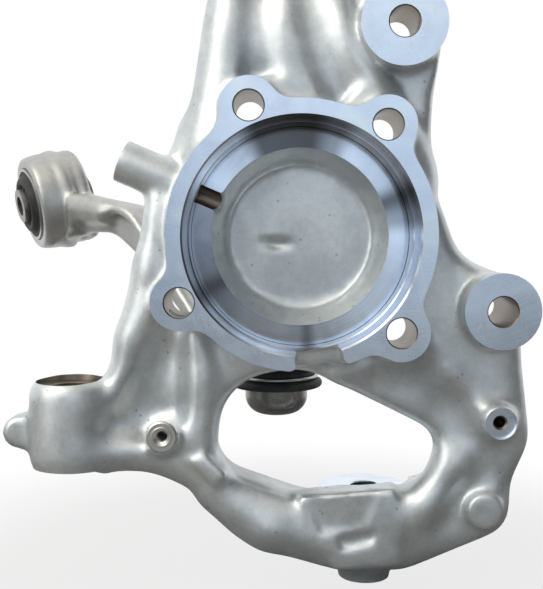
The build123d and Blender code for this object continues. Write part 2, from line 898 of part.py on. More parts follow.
# Bush pressed in the eye: outer sleeve, bonded rubber and inner metal
sleeve_inner_r = bush_sleeve_r - bush_sleeve_wall
sleeve_end = bush_sleeve_length / 2
core_end = bush_core_length / 2
with BuildPart() as bush_outer_sleeve:
    with BuildSketch(eye_section):
        with Locations((0, bush_sleeve_r - bush_sleeve_wall / 2)):
            Rectangle(bush_sleeve_length, bush_sleeve_wall)
    revolve(axis=eye_axis)
bush_outer_sleeve.part.label = "bush_outer_sleeve"
with BuildPart() as bush_rubber:
    with BuildSketch(eye_section):
        with BuildLine():
            Line((-sleeve_end + 1, sleeve_inner_r), (sleeve_end - 1, sleeve_inner_r))
            ThreePointArc(
                (sleeve_end - 1, sleeve_inner_r),
                (sleeve_end + bush_rubber_swell, (sleeve_inner_r + bush_core_r) / 2),
                (sleeve_end, bush_core_r),
            )
            Line((sleeve_end, bush_core_r), (-sleeve_end, bush_core_r))
            ThreePointArc(
                (-sleeve_end, bush_core_r),
                (-sleeve_end - bush_rubber_swell, (sleeve_inner_r + bush_core_r) / 2),
                (-sleeve_end + 1, sleeve_inner_r),
            )
        make_face()
    revolve(axis=eye_axis)
bush_rubber.part.label = "bush_rubber"
with BuildPart() as bush_inner_sleeve:
    with BuildSketch(eye_section):
        with Locations((0, (bush_core_r + bush_bore_r) / 2)):
            Rectangle(bush_core_length, bush_core_r - bush_bore_r)
    revolve(axis=eye_axis)
bush_inner_sleeve.part.label = "bush_inner_sleeve"

pieces = [
    knuckle_casting,
    hose_bracket_insert,
    ball_stud,
    stud_nut,
    ball_seat,
    ball_joint_housing,
    ball_joint_boot,
    boot_housing_ring,
    boot_stud_ring,
    link_arm,
    bush_outer_sleeve,
    bush_rubber,
    bush_inner_sleeve,
]
os.makedirs("parts", exist_ok=True)
for piece in pieces:
    export_step(piece.part, f"parts/{piece.part.label}.step")
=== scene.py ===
import json
from math import cos, pi, radians, sin

import bmesh
import bpy
import numpy as np
import openvdb
from bpy.props import FloatProperty, FloatVectorProperty, PointerProperty
from bpy.types import Operator, Panel, PropertyGroup
from mathutils import Matrix, Vector


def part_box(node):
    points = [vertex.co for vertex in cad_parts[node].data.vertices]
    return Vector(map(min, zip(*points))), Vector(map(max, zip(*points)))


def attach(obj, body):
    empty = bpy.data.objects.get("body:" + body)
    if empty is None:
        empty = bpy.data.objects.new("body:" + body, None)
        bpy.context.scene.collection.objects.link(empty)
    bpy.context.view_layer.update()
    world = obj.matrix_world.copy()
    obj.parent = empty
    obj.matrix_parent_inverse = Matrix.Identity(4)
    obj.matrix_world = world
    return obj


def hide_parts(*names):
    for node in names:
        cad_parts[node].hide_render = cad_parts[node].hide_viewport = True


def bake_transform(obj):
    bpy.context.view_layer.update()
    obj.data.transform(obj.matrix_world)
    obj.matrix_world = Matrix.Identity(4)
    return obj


bl_info = {
    "name": "Steering knuckle",
    "version": (1, 0, 0),
    "blender": (4, 5, 0),
    "location": "View3D > Sidebar > Knuckle",
    "description": "Dresses a cast steering knuckle and its rear link",
    "category": "Object",
}

MM = 0.001
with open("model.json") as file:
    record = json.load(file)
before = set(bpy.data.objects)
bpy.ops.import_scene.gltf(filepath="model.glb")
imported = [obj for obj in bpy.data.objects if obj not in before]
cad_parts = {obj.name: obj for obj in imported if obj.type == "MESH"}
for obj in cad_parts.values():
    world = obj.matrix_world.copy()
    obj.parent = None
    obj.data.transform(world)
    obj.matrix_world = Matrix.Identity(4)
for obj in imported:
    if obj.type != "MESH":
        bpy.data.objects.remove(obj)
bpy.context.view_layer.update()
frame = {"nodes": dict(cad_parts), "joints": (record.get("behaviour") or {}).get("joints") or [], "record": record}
mounts = {m["name"]: m for m in frame["record"]["mounts"]}
joints = {j["name"]: j for j in frame["joints"]}
BALL = Vector(joints["link_swivel"]["pos_m"]) / MM
EYE = Vector(mounts["bush_bore"]["pos_m"]) / MM
EYE_AXIS = Vector(mounts["bush_bore"]["axis"])
HUB_BACKWARD = Vector((0, 1, 0))
UP = Vector((0, 0, 1))


# Sizes and colours that a user would change

def length(name, description, default):
    return FloatProperty(
        name=name, description=description, default=default * MM, unit="LENGTH", precision=4
    )


def colour(name, description, default):
    return FloatVectorProperty(
        name=name, description=description, default=default, subtype="COLOR", min=0, max=1, size=3
    )


class KnuckleSizes(PropertyGroup):
    grid: length("Casting grid", "Spacing of the grid that the casting is moulded on", 1.3)
    softness: length("Casting softness", "How far the casting's edges and corners are rounded", 1.4)
    flow: length("Casting flow", "How far its ridges and valleys run into each other", 3.4)
    link_grid: length("Forging grid", "Spacing of the grid that the link is moulded on", 1.2)
    link_softness: length("Forging softness", "How far the link's edges are rounded", 1.2)
    stock: length("Machining stock", "Metal that is left on a boss for its machined face", 3.0)
    break_edge: length("Broken edge", "Chamfer round a drilled hole", 0.5)
    thread_pitch: length("Thread pitch", "Pitch of the small metric threads", 1.0)
    stud_pitch: length("Stud thread pitch", "Pitch of the ball stud's thread", 1.5)


class KnuckleColours(PropertyGroup):
    cast_light: colour("Cast aluminium", "Blasted casting skin", (0.76, 0.80, 0.815))
    cast_dark: colour("Cast aluminium, dark", "Darker clouds of the skin", (0.57, 0.61, 0.63))
    # The blue tint of the milled and turned colours is a painted reflection; their lightness is the metal's own
    milled: colour("Milled aluminium", "Machined faces", (0.76, 0.85, 0.97))
    turned: colour("Turned aluminium", "Bearing seat", (0.78, 0.85, 0.95))
    # The dark brown of the hole walls is painted shade inside the holes
    shaded_bore: colour("Bored aluminium in painted shade", "Walls of drilled and reamed holes", (0.20, 0.17, 0.14))
    forged: colour("Forged aluminium", "Skin of the link", (0.60, 0.61, 0.60))
    zinc: colour("Zinc plating", "Insert and nut", (0.80, 0.80, 0.76))
    dark_steel: colour("Dark steel", "Cup of the ball joint", (0.34, 0.335, 0.32))
    steel: colour("Turned steel", "Stud, rings and sleeves", (0.46, 0.46, 0.46))
    rubber: colour("Rubber", "Boot and bush", (0.022, 0.022, 0.023))
    plastic: colour("Seat plastic", "Shell round the ball", (0.80, 0.79, 0.73))
    floor: colour("Floor", "Studio floor", (0.22, 0.215, 0.21))


def sizes():
    return bpy.context.scene.knuckle_sizes


def colours():
    return bpy.context.scene.knuckle_colours


# Materials

def new_material(name):
    """A material with its node tree and its shader."""
    made = bpy.data.materials.new(name)
    if made.name != name:
        raise RuntimeError(f"a material named {name} exists already")
    made.use_nodes = True
    return made, made.node_tree, made.node_tree.nodes["Principled BSDF"]


def node(tree, kind, values=None, **settings):
    """A node with its settings, and with values or links for its inputs."""
    made = tree.nodes.new(kind)
    for key, value in settings.items():
        setattr(made, key, value)
    for key, value in (values or {}).items():
        if isinstance(value, bpy.types.NodeSocket):
            tree.links.new(value, made.inputs[key])
        else:
            made.inputs[key].default_value = value
    return made


def maths(tree, operation, *values):
    return node(tree, "ShaderNodeMath", dict(enumerate(values)), operation=operation).outputs[0]


def times(tree, first, second):
    return maths(tree, "MULTIPLY", first, second)


def vector(tree, operation, *values):
    return node(tree, "ShaderNodeVectorMath", dict(enumerate(values)), operation=operation).outputs


def noise(tree, place, scale, detail=2.0, **more):
    values = {"Vector": place, "Scale": scale, "Detail": detail, **more}
    return node(tree, "ShaderNodeTexNoise", values).outputs["Fac"]


def ramp(tree, fac, low, high):
    """0 up to low, 1 from high on, smooth between."""
    values = {"Value": fac, "From Min": low, "From Max": high}
    return node(tree, "ShaderNodeMapRange", values, interpolation_type="SMOOTHSTEP").outputs["Result"]


def mix_colour(tree, fac, first, second, mode="MIX"):
    values = {0: fac}
    for index, value in ((6, first), (7, second)):
        values[index] = value if isinstance(value, bpy.types.NodeSocket) else (*value, 1)
    return node(tree, "ShaderNodeMix", values, data_type="RGBA", blend_type=mode).outputs[2]


def shaded(tree, base, shade):
    """A colour times a grey."""
    grey = node(tree, "ShaderNodeCombineColor", {0: shade, 1: shade, 2: shade}).outputs[0]
    return mix_colour(tree, 1.0, base, grey, "MULTIPLY")


def effect(name, *inputs):
    """A shader node group that puts out a colour, a roughness and a height, and its named inputs."""
    made = bpy.data.node_groups.new(name, "ShaderNodeTree")
    for label, value in inputs:
        kind = "Float" if isinstance(value, float) else "Vector" if len(value) == 3 else "Color"
        socket = made.interface.new_socket(label, in_out="INPUT", socket_type="NodeSocket" + kind)
        socket.default_value = value
    for label, kind in (("Color", "Color"), ("Roughness", "Float"), ("Height", "Float")):
        made.interface.new_socket(label, in_out="OUTPUT", socket_type="NodeSocket" + kind)
    return made, made.nodes.new("NodeGroupInput").outputs


def blasted_skin():
    """Skin of a blasted casting or forging: fine grain, slow clouds, pits, and brighter edges that are partly real
    wear and partly a painted highlight.
    """
    tree, given = effect(
        "blasted_skin",
        ("Light", (0.6, 0.6, 0.6, 1)),
        ("Dark", (0.4, 0.4, 0.4, 1)),
        ("Grain", 900.0),
        ("Roughness", 0.5),
        ("Pits", 0.5),
    )
    place = node(tree, "ShaderNodeTexCoord").outputs["Object"]
    clouds = noise(tree, place, 34.0, 5.0, Roughness=0.62)
    grain = noise(tree, place, given["Grain"], 3.0, Roughness=0.6)
    swells = noise(tree, place, 150.0)
    mottle = noise(tree, place, 330.0)
    scatter = node(tree, "ShaderNodeTexVoronoi", {"Vector": place, "Scale": 240.0}).outputs["Distance"]
    chance = ramp(tree, noise(tree, place, 60.0), 0.54, 0.60)
    pit = times(tree, ramp(tree, scatter, 0.20, 0.10), chance)
    pit = times(tree, pit, given["Pits"])
    # Convex edges lighter and smoother: partly real wear, partly a painted edge highlight
    worn_and_highlit = ramp(tree, node(tree, "ShaderNodeNewGeometry").outputs["Pointiness"], 0.515, 0.60)
    base = mix_colour(tree, ramp(tree, clouds, 0.36, 0.66), given["Dark"], given["Light"])
    fine = maths(tree, "MULTIPLY_ADD", grain, 0.22, maths(tree, "MULTIPLY_ADD", mottle, 0.16, 0.81))
    base = shaded(tree, base, fine)
    base = mix_colour(tree, times(tree, worn_and_highlit, 0.45), base, (0.74, 0.73, 0.70))
    base = mix_colour(tree, pit, base, (0.10, 0.095, 0.09))
    rough = maths(tree, "MULTIPLY_ADD", grain, 0.22, maths(tree, "SUBTRACT", given["Roughness"], 0.11))
    rough = maths(tree, "SUBTRACT", rough, times(tree, worn_and_highlit, 0.10))
    height = maths(tree, "MULTIPLY_ADD", swells, 1.6, grain)
    height = maths(tree, "SUBTRACT", height, times(tree, pit, 1.5))
    node(tree, "NodeGroupOutput", {"Color": base, "Roughness": rough, "Height": height})


# Painted reflection of a turned face, as light and dark fan-shaped sectors: degrees round from the right, and
# lightness
REFLECTION_FANS = (
    (-180, 0.45), (-160, 0.35), (-150, 0.1), (-138, 0.5), (-108, 0.85), (-92, 0.6), (-86, 0.25),
    (-79, 0.7), (-54, 0.95), (-18, 0.85), (0, 1.0), (10, 0.45), (22, 0.1), (34, 0.8), (58, 0.95),
    (70, 0.35), (84, 0.02), (112, 0.06), (126, 0.75), (146, 1.0), (163, 0.4), (180, 0.45),
)


def cutter_marks():
    """Marks of a tool that turned about an axis: rings round it, uneven shine, a painted reflection in light and
    dark fan-shaped sectors round the axis, and a few scratches.
    """
    tree, given = effect(
        "cutter_marks",
        ("Along", (0.0, 1.0, 0.0)),
        ("Centre", (0.0, 0.0, 0.0)),
        ("Pitch", 1800.0),
        ("Roughness", 0.2),
        ("Scratches", 0.5),
        ("Light", (0.8, 0.8, 0.8, 1)),
        ("Fans", 0.0),
    )
    place = node(tree, "ShaderNodeTexCoord").outputs["Object"]
    offset = vector(tree, "SUBTRACT", place, given["Centre"])[0]
    depth = vector(tree, "DOT_PRODUCT", offset, given["Along"])["Value"]
    radius = vector(tree, "LENGTH", vector(tree, "CROSS_PRODUCT", offset, given["Along"])[0])["Value"]
    rings = node(tree, "ShaderNodeCombineXYZ", {
        "X": times(tree, radius, given["Pitch"]),
        "Y": times(tree, depth, given["Pitch"]),
    }).outputs[0]
    fine = noise(tree, rings, 1.0)
    bands = noise(tree, rings, 0.13, 1.0)
    smears = noise(tree, place, 55.0, 4.0, Distortion=0.8)
    stretched = node(tree, "ShaderNodeMapping", {
        "Vector": place, "Scale": (900.0, 900.0, 170.0), "Rotation": (0, 0.7, 0),
    }).outputs[0]
    scratch = ramp(tree, noise(tree, stretched, 1.0, 1.0), 0.68, 0.74)
    scratch = times(tree, scratch, given["Scratches"])
    shade = maths(tree, "MULTIPLY_ADD", bands, 0.22, maths(tree, "MULTIPLY_ADD", smears, 0.50, 0.64))
    base = shaded(tree, given["Light"], shade)
    spokes = node(tree, "ShaderNodeSeparateXYZ", {0: offset}).outputs
    turn = maths(tree, "ARCTAN2", spokes["Z"], spokes["X"])
    reflection_fans = node(tree, "ShaderNodeValToRGB", {"Fac": maths(tree, "MULTIPLY_ADD", turn, 0.5 / pi, 0.5)})
    stops = reflection_fans.color_ramp.elements
    reflection_fans.color_ramp.interpolation = "EASE"
    stops.remove(stops[1])
    stops[0].color = (*[REFLECTION_FANS[0][1]] * 3, 1)
    for at, light in REFLECTION_FANS[1:]:
        stops.new((at + 180) / 360).color = (light, light, light, 1)
    # Painted reflection: where a sector is dark, the colour is darkened towards near black
    shadow = maths(tree, "SUBTRACT", 1.0, reflection_fans.outputs["Color"])
    base = mix_colour(tree, times(tree, shadow, given["Fans"]), base, (0.035, 0.027, 0.022))
    base = mix_colour(tree, times(tree, scratch, 0.5), base, (0.88, 0.90, 0.93))
    rough = maths(tree, "MULTIPLY_ADD", smears, 0.16, maths(tree, "SUBTRACT", given["Roughness"], 0.08))
    rough = maths(tree, "ADD", rough, times(tree, scratch, 0.25))
    height = maths(tree, "SUBTRACT", fine, times(tree, scratch, 0.8))
    node(tree, "NodeGroupOutput", {"Color": base, "Roughness": rough, "Height": height})


def moulded_skin():
    """Skin of moulded rubber or plastic: faint bloom and a fine matt grain."""
    tree, given = effect(
        "moulded_skin", ("Tone", (0.03, 0.03, 0.03, 1)), ("Bloom", 0.5), ("Roughness", 0.6)
    )
    place = node(tree, "ShaderNodeTexCoord").outputs["Object"]
    grain = noise(tree, place, 2200.0)
    bloom = times(tree, ramp(tree, noise(tree, place, 90.0, 5.0), 0.45, 0.75), given["Bloom"])
    base = mix_colour(tree, times(tree, bloom, 0.25), given["Tone"], (0.22, 0.21, 0.20))
    rough = maths(tree, "MULTIPLY_ADD", grain, 0.2, maths(tree, "SUBTRACT", given["Roughness"], 0.1))
    node(tree, "NodeGroupOutput", {"Color": base, "Roughness": rough, "Height": grain})


def finish_material(name, skin_name, metallic, depth, **values):
    """A material whose colour, roughness and bump, of a depth in metres, come from a shared effect."""
    _, tree, shader = new_material(name)
    skin = node(tree, "ShaderNodeGroup", node_tree=bpy.data.node_groups[skin_name])
    for key, value in values.items():
        skin.inputs[key].default_value = value
    height = skin.outputs["Height"]
    bump = node(tree, "ShaderNodeBump", {"Height": height, "Strength": 1.0, "Distance": depth})
    tree.links.new(skin.outputs["Color"], shader.inputs["Base Color"])
    tree.links.new(skin.outputs["Roughness"], shader.inputs["Roughness"])
    tree.links.new(bump.outputs["Normal"], shader.inputs["Normal"])
    shader.inputs["Metallic"].default_value = metallic


def dimmed(tone):
    return [c * 0.8 for c in tone]


def make_materials():
    tone = colours()
    blasted_skin()
    cutter_marks()
    moulded_skin()
    for name, light, dark, grain, roughness, pits, depth in (
        ("blasted_casting", tone.cast_light, tone.cast_dark, 900.0, 0.43, 0.4, 0.00003),
        ("blasted_forging", tone.forged, dimmed(tone.forged), 800.0, 0.42, 0.25, 0.00003),
        ("phosphated_steel", tone.dark_steel, dimmed(tone.dark_steel), 500.0, 0.24, 0.0, 0.000002),
    ):
        finish_material(
            name, "blasted_skin", 0.85, depth,
            Light=(*light, 1), Dark=(*dark, 1), Grain=grain, Roughness=roughness, Pits=pits,
        )
    # The last column is the share of the painted reflection sectors in the colour
    for name, light, along, centre, pitch, roughness, scratches, depth, reflection_fans in (
        ("milled_aluminium", tone.milled, HUB_BACKWARD, (46, 0, 70), 900.0, 0.28, 0.5, 0.00002, 0.0),
        ("seat_aluminium", tone.turned, HUB_BACKWARD, (0, 0, 0), 1500.0, 0.16, 0.1, 0.000016, 0.93),
        ("turned_aluminium", tone.turned, HUB_BACKWARD, (0, 0, 0), 1500.0, 0.2, 0.1, 0.000012, 0.0),
        ("bored_aluminium", tone.shaded_bore, HUB_BACKWARD, (0, 0, 0), 900.0, 0.35, 0.2, 0.00003, 0.0),
        ("zinc_plate", tone.zinc, HUB_BACKWARD, (-62, 0, -89), 700.0, 0.33, 0.5, 0.00002, 0.0),
        ("turned_steel", tone.steel, EYE_AXIS, EYE, 900.0, 0.3, 0.3, 0.00002, 0.0),
        ("stud_steel", tone.steel, UP, BALL, 900.0, 0.25, 0.2, 0.00002, 0.0),
        ("core_steel", tone.dark_steel, EYE_AXIS, EYE, 900.0, 0.4, 0.3, 0.00002, 0.0),
    ):
        finish_material(
            name, "cutter_marks", 1.0, depth,
            Light=(*light, 1), Along=along, Centre=[c * MM for c in centre], Pitch=pitch,
            Roughness=roughness, Scratches=scratches, Fans=reflection_fans,
        )
    finish_material("moulded_rubber", "moulded_skin", 0.0, 0.00002, Tone=(*tone.rubber, 1))
    finish_material("moulded_plastic", "moulded_skin", 0.0, 0.00001, Tone=(*tone.plastic, 1), Bloom=0.1)


def material(name):
    return bpy.data.materials[name]


# Mesh tools

def new_object(name, data):
    made = bpy.data.objects.new(name, data)
    bpy.context.scene.collection.objects.link(made)
    return made


def remove_object(old):
    mesh = old.data
    bpy.data.objects.remove(old)
    if mesh.users == 0:
        bpy.data.meshes.remove(mesh)


def frame_of(axis):
    """An axis of length one and two directions across it."""
    axis = Vector(axis).normalized()
    side = axis.cross(UP if abs(axis.z) < 0.9 else Vector((1, 0, 0))).normalized()
    return axis, side, axis.cross(side)


def outwards(mesh):
    """Faces of a closed mesh point outwards."""
    work = bmesh.new()
    work.from_mesh(mesh)
    bmesh.ops.recalc_face_normals(work, faces=work.faces)
    work.to_mesh(mesh)
    work.free()


def closed_mesh(name, verts, faces, finish):
    mesh = bpy.data.meshes.new(name)
    mesh.from_pydata(verts, [], faces)
    mesh.materials.append(material(finish))
    outwards(mesh)
    return mesh


def turned_mesh(name, profile, origin, axis, finish, segments=96):
    """A solid of revolution from a closed profile, whose points are (along, radius)."""
    axis, side, other = frame_of(axis)
    verts, rings = [], []
    for along, radius in profile:
        middle = Vector(origin) + axis * along
        if radius < 1e-6:
            rings.append([len(verts)] * segments)
            verts.append(middle * MM)
            continue
        rings.append(range(len(verts), len(verts) + segments))
        for k in range(segments):
            turn = 2 * pi * k / segments
            verts.append((middle + (side * cos(turn) + other * sin(turn)) * radius) * MM)
    faces = []
    for ring, after in zip(rings, rings[1:] + rings[:1]):
        if ring[0] == ring[1] and after[0] == after[1]:
            continue
        for k in range(segments):
            m = (k + 1) % segments
            face = [ring[k], ring[m], after[m], after[k]]
            faces.append([v for j, v in enumerate(face) if v != face[j - 1]])
    return closed_mesh(name, verts, faces, finish)


def prism_mesh(name, outline, low, high, finish):
    """An upright prism over an outline of (x, y)."""
    verts = [Vector((x, y, z)) * MM for z in (low, high) for x, y in outline]
    count = len(outline)
    faces = [list(range(count)), list(range(2 * count - 1, count - 1, -1))]
    faces += [[k, (k + 1) % count, (k + 1) % count + count, k + count] for k in range(count)]
    return closed_mesh(name, verts, faces, finish)


def smooth(mesh, angle):
    mesh.polygons.foreach_set("use_smooth", [True] * len(mesh.polygons))
    mesh.set_sharp_from_angle(angle=radians(angle))


def evaluated_mesh(holder, layers=False):
    """A plain mesh of what an object's modifiers make."""
    depsgraph = bpy.context.evaluated_depsgraph_get()
    return bpy.data.meshes.new_from_object(
        holder.evaluated_get(depsgraph), preserve_all_data_layers=layers, depsgraph=depsgraph
    )


def settle(piece, step, layers=False):
    """A modifier's result becomes the piece's own mesh."""
    old, made = piece.data, evaluated_mesh(piece, layers)
    name = old.name
    piece.modifiers.remove(step)
    piece.data = made
    bpy.data.meshes.remove(old)
    made.name = name


def thin_out(piece, share):
    """Fewer faces where the surface is nearly flat."""
    step = piece.modifiers.new("thin_out", "DECIMATE")
    step.ratio = share
    settle(piece, step)


def cut(piece, tools):
    """Takes each tool's volume out of the piece; the cut face keeps the tool's finish."""
    for mesh in tools:
        tool = new_object("tool", mesh)
        step = piece.modifiers.new("cut", "BOOLEAN")
        step.operation = "DIFFERENCE"
        step.object = tool
        step.solver = "MANIFOLD"
        step.material_mode = "TRANSFER"
        settle(piece, step, layers=True)
        if len(piece.data.polygons) == 0:
            raise RuntimeError(f"the cut with {mesh.name} left nothing of {piece.name}")
        remove_object(tool)


# A casting or forging as distances on a grid

def soft_min(first, second, blend):
    if blend <= 0:
        return np.minimum(first, second)
    h = np.clip(0.5 + 0.5 * (second - first) / blend, 0, 1)
    return second * (1 - h) + first * h - blend * h * (1 - h)


def rod(start, end, start_r, end_r=None):
    """Distance to a round-ended rod that may taper, and the box that holds it."""
    start, end = np.array(start, float), np.array(end, float)
    end_r = start_r if end_r is None else end_r
    run = end - start
    span = max(float(run @ run), 1e-9)

    def distance(x, y, z):
        t = ((x - start[0]) * run[0] + (y - start[1]) * run[1] + (z - start[2]) * run[2]) / span
        t = np.clip(t, 0, 1)
        gap = (x - start[0] - t * run[0]) ** 2 + (y - start[1] - t * run[1]) ** 2
        gap = gap + (z - start[2] - t * run[2]) ** 2
        return np.sqrt(gap) - (start_r + (end_r - start_r) * t)

    reach = max(start_r, end_r)
    return distance, np.minimum(start, end) - reach, np.maximum(start, end) + reach


def slug(start, end, radius, inner=0.0):
    """Distance to a flat-ended round bar, or a tube."""
    start, end = np.array(start, float), np.array(end, float)
    span = float(np.linalg.norm(end - start))
    way = (end - start) / span

    def distance(x, y, z):
        u = (x - start[0]) * way[0] + (y - start[1]) * way[1] + (z - start[2]) * way[2]
        out = (x - start[0] - u * way[0]) ** 2 + (y - start[1] - u * way[1]) ** 2
        out = np.sqrt(out + (z - start[2] - u * way[2]) ** 2)
        shell = out - radius if inner <= 0 else np.maximum(out - radius, inner - out)
        return np.maximum(shell, np.abs(u - span / 2) - span / 2)

    return distance, np.minimum(start, end) - radius, np.maximum(start, end) + radius


def upright(place, bottom, top, radius):
    """A slug from bottom to top; the place starts with x and y."""
    return slug((*place[:2], bottom), (*place[:2], top), radius)


def level(place, front, back, radius, inner=0.0):
    """A slug from front to back; the place starts with x and ends with z."""
    return slug((place[0], front, place[-1]), (place[0], back, place[-1]), radius, inner)


def hoop(centre, axis, radius, tube):
    """Distance to a round hoop."""
    centre, axis = np.array(centre, float), np.array(Vector(axis).normalized())

    def distance(x, y, z):
        dx, dy, dz = x - centre[0], y - centre[1], z - centre[2]
        along = dx * axis[0] + dy * axis[1] + dz * axis[2]
        out = np.sqrt(np.maximum(dx * dx + dy * dy + dz * dz - along * along, 0))
        return np.sqrt((out - radius) ** 2 + along * along) - tube

    return distance, centre - radius - tube, centre + radius + tube


def plate(corners, front, back):
    """Distance to a flat plate: its corners as (x, z), and its front and back along Y."""
    corners = np.array(corners, float)

    def distance(x, y, z):
        flat = np.full(np.broadcast(x, z).shape, 1e9)
        inside = np.ones(flat.shape)
        for (ax, az), (bx, bz) in zip(corners, np.roll(corners, 1, axis=0)):
            ex, ez = bx - ax, bz - az
            wx, wz = x - ax, z - az
            t = np.clip((wx * ex + wz * ez) / (ex * ex + ez * ez), 0, 1)
            flat = np.minimum(flat, (wx - ex * t) ** 2 + (wz - ez * t) ** 2)
            above, under, left = z >= az, z < bz, ex * wz > ez * wx
            turn = (above & under & left) | (~above & ~under & ~left)
            inside = np.where(turn, -inside, inside)
        return np.maximum(inside * np.sqrt(flat), np.abs(y - (front + back) / 2) - (back - front) / 2)

    low = np.array([corners[:, 0].min(), front, corners[:, 1].min()])
    return distance, low, np.array([corners[:, 0].max(), back, corners[:, 1].max()])


def block(low, high):
    """Distance to a box."""
    low, high = np.array(low, float), np.array(high, float)

    def distance(x, y, z):
        gaps = [np.abs(v - (a + b) / 2) - (b - a) / 2 for v, a, b in zip((x, y, z), low, high)]
        return np.maximum(np.maximum(gaps[0], gaps[1]), gaps[2])

    return distance, low, high


def chain(points, radii):
    """Rods from point to point."""
    return [rod(points[i], points[i + 1], radii[i], radii[i + 1]) for i in range(len(points) - 1)]


# Millimetres of grid round the node, and over which a spared shape fades into softened metal
MARGIN = 6.0
FADE = 9.0


class Pattern:
    """A rounded solid, started from a CAD node, as distances in millimetres, negative inside."""

    def __init__(self, name, pitch):
        low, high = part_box(name)
        self.pitch = pitch
        self.low = np.array(low) / MM - MARGIN
        count = np.ceil((np.array(high) / MM + MARGIN - self.low) / pitch).astype(int) + 1
        mesh = frame["nodes"][name].data
        mesh.calc_loop_triangles()
        points = np.empty(len(mesh.vertices) * 3, np.float32)
        mesh.vertices.foreach_get("co", points)
        corners = np.empty(len(mesh.loop_triangles) * 3, np.int32)
        mesh.loop_triangles.foreach_get("vertices", corners)
        points = ((points.reshape(-1, 3) / MM - self.low) / pitch).astype(np.float32)
        corners = corners.reshape(-1, 3).astype(np.uint32)
        volume = openvdb.FloatGrid.createLevelSetFromPolygons(points, corners, halfWidth=6.0)
        field = np.zeros(tuple(count), np.float32)
        volume.copyToArray(field)
        self.field = field * pitch
        self.grid = [self.low[i] + pitch * np.arange(count[i]) for i in range(3)]

    def _window(self, low, high, blend):
        parts = []
        for i in range(3):
            first = int((low[i] - blend - 3 - self.low[i]) // self.pitch)
            last = int((high[i] + blend + 3 - self.low[i]) // self.pitch) + 2
            parts.append(slice(max(first, 0), max(min(last, len(self.grid[i])), 0)))
        x, y, z = (self.grid[i][parts[i]] for i in range(3))
        return tuple(parts), x[:, None, None], y[None, :, None], z[None, None, :]

    def add(self, shape, blend=0.0, side=1):
        """Joins a shape to the solid; with side -1 it comes out instead."""
        distance, low, high = shape
        window, x, y, z = self._window(low, high, blend)
        self.field[window] = side * soft_min(side * self.field[window], distance(x, y, z), blend)

    def take(self, shape, blend=0.0):
        self.add(shape, blend, -1)

    def soften(self, radius, spared=()):
        """Rounds edges and corners, but not near the shapes that are spared."""
        before = self.field
        sigma = radius / self.pitch
        reach = max(int(np.ceil(2.5 * sigma)), 1)
        taps = np.exp(-0.5 * (np.arange(-reach, reach + 1) / sigma) ** 2)
        taps = (taps / taps.sum()).astype(np.float32)
        for axis in range(3):
            padding = [(reach, reach) if i == axis else (0, 0) for i in range(3)]
            padded = np.pad(self.field, padding, mode="edge")
            total = np.zeros_like(self.field)
            for k, tap in enumerate(taps):
                part = [slice(None)] * 3
                part[axis] = slice(k, k + self.field.shape[axis])
                total += tap * padded[tuple(part)]
            self.field = total
        if spared:
            share = np.ones_like(before)
            for distance, low, high in spared:
                window, x, y, z = self._window(low, high, FADE)
                share[window] = np.minimum(share[window], np.clip(distance(x, y, z) / FADE, 0, 1))
            self.field = before + share * (self.field - before)

    def mesh(self, name, finish):
        volume = openvdb.FloatGrid(4.0)
        volume.copyFromArray(np.clip(self.field / self.pitch, -4, 4).astype(np.float32))
        points, triangles, quads = volume.convertToPolygons(0.0, 0.0)
        points = (points * self.pitch + self.low) * MM
        faces = [tuple(face) for face in quads.tolist()] + [tuple(face) for face in triangles.tolist()]
        made = bpy.data.meshes.new(name)
        made.from_pydata(points.tolist(), [], faces)
        made.materials.append(material(finish))
        work = bmesh.new()
        work.from_mesh(made)
        if work.calc_volume(signed=True) < 0:
            bmesh.ops.reverse_faces(work, faces=work.faces)
        work.to_mesh(made)
        work.free()
        return made


def on_circle(radius, angle):
    return radius * cos(radians(angle)), radius * sin(radians(angle))


# The knuckle's places, in millimetres, as in its solids
BOLTS = [on_circle(60.25, angle) for angle in (112.25, 52.25, 208.45, 316.05)]
UPPER_EAR = (44.2, 92.0)
LOWER_EAR = (88.3, -32.9)
STEER_BOSS = (-105.5, 22.5, 0.0)
LOWER_BOSS = (32.5, 46.0, 0.0)
LAND_HEIGHT = -121.5
INSERT_BOSS = (-62.0, 0.0, -89.0)
BRACKET_BOSS = (89.2, 0.0, -83.0)
UPPER_EYE = (-12.0, 56.0, 0.0)
PINCH_BOLT = (77.0, 166.0)
STUD = (BALL.x, BALL.y, 0.0)
SENSOR_WAY = Vector((cos(radians(157)), 0, sin(radians(157))))
SENSOR_DEPTH = 19.5
NOTCH_ANGLE = 278.2


def flange_stock(stock):
    """Metal on the flange and its lobes, in front of the machined face."""

    def distance(x, y, z):
        ring = np.sqrt(x**2 + z**2)
        flat = ring - 59.0
        for bx, bz in BOLTS:
            flat = soft_min(flat, np.sqrt((x - bx) ** 2 + (z - bz) ** 2) - 12.8, 6.0)
        flat = np.maximum(flat, 38.0 - ring)
        return np.maximum(flat, np.abs(y) - stock)

    return distance, np.array([-76, -stock, -76]), np.array([76, stock, 76])


def notch_corners(inner, outer, half_width):
    way = radians(NOTCH_ANGLE)
    corners = [(inner, -half_width), (outer, -half_width), (outer, half_width), (inner, half_width)]
    return [(r * cos(way) - w * sin(way), r * sin(way) + w * cos(way)) for r, w in corners]


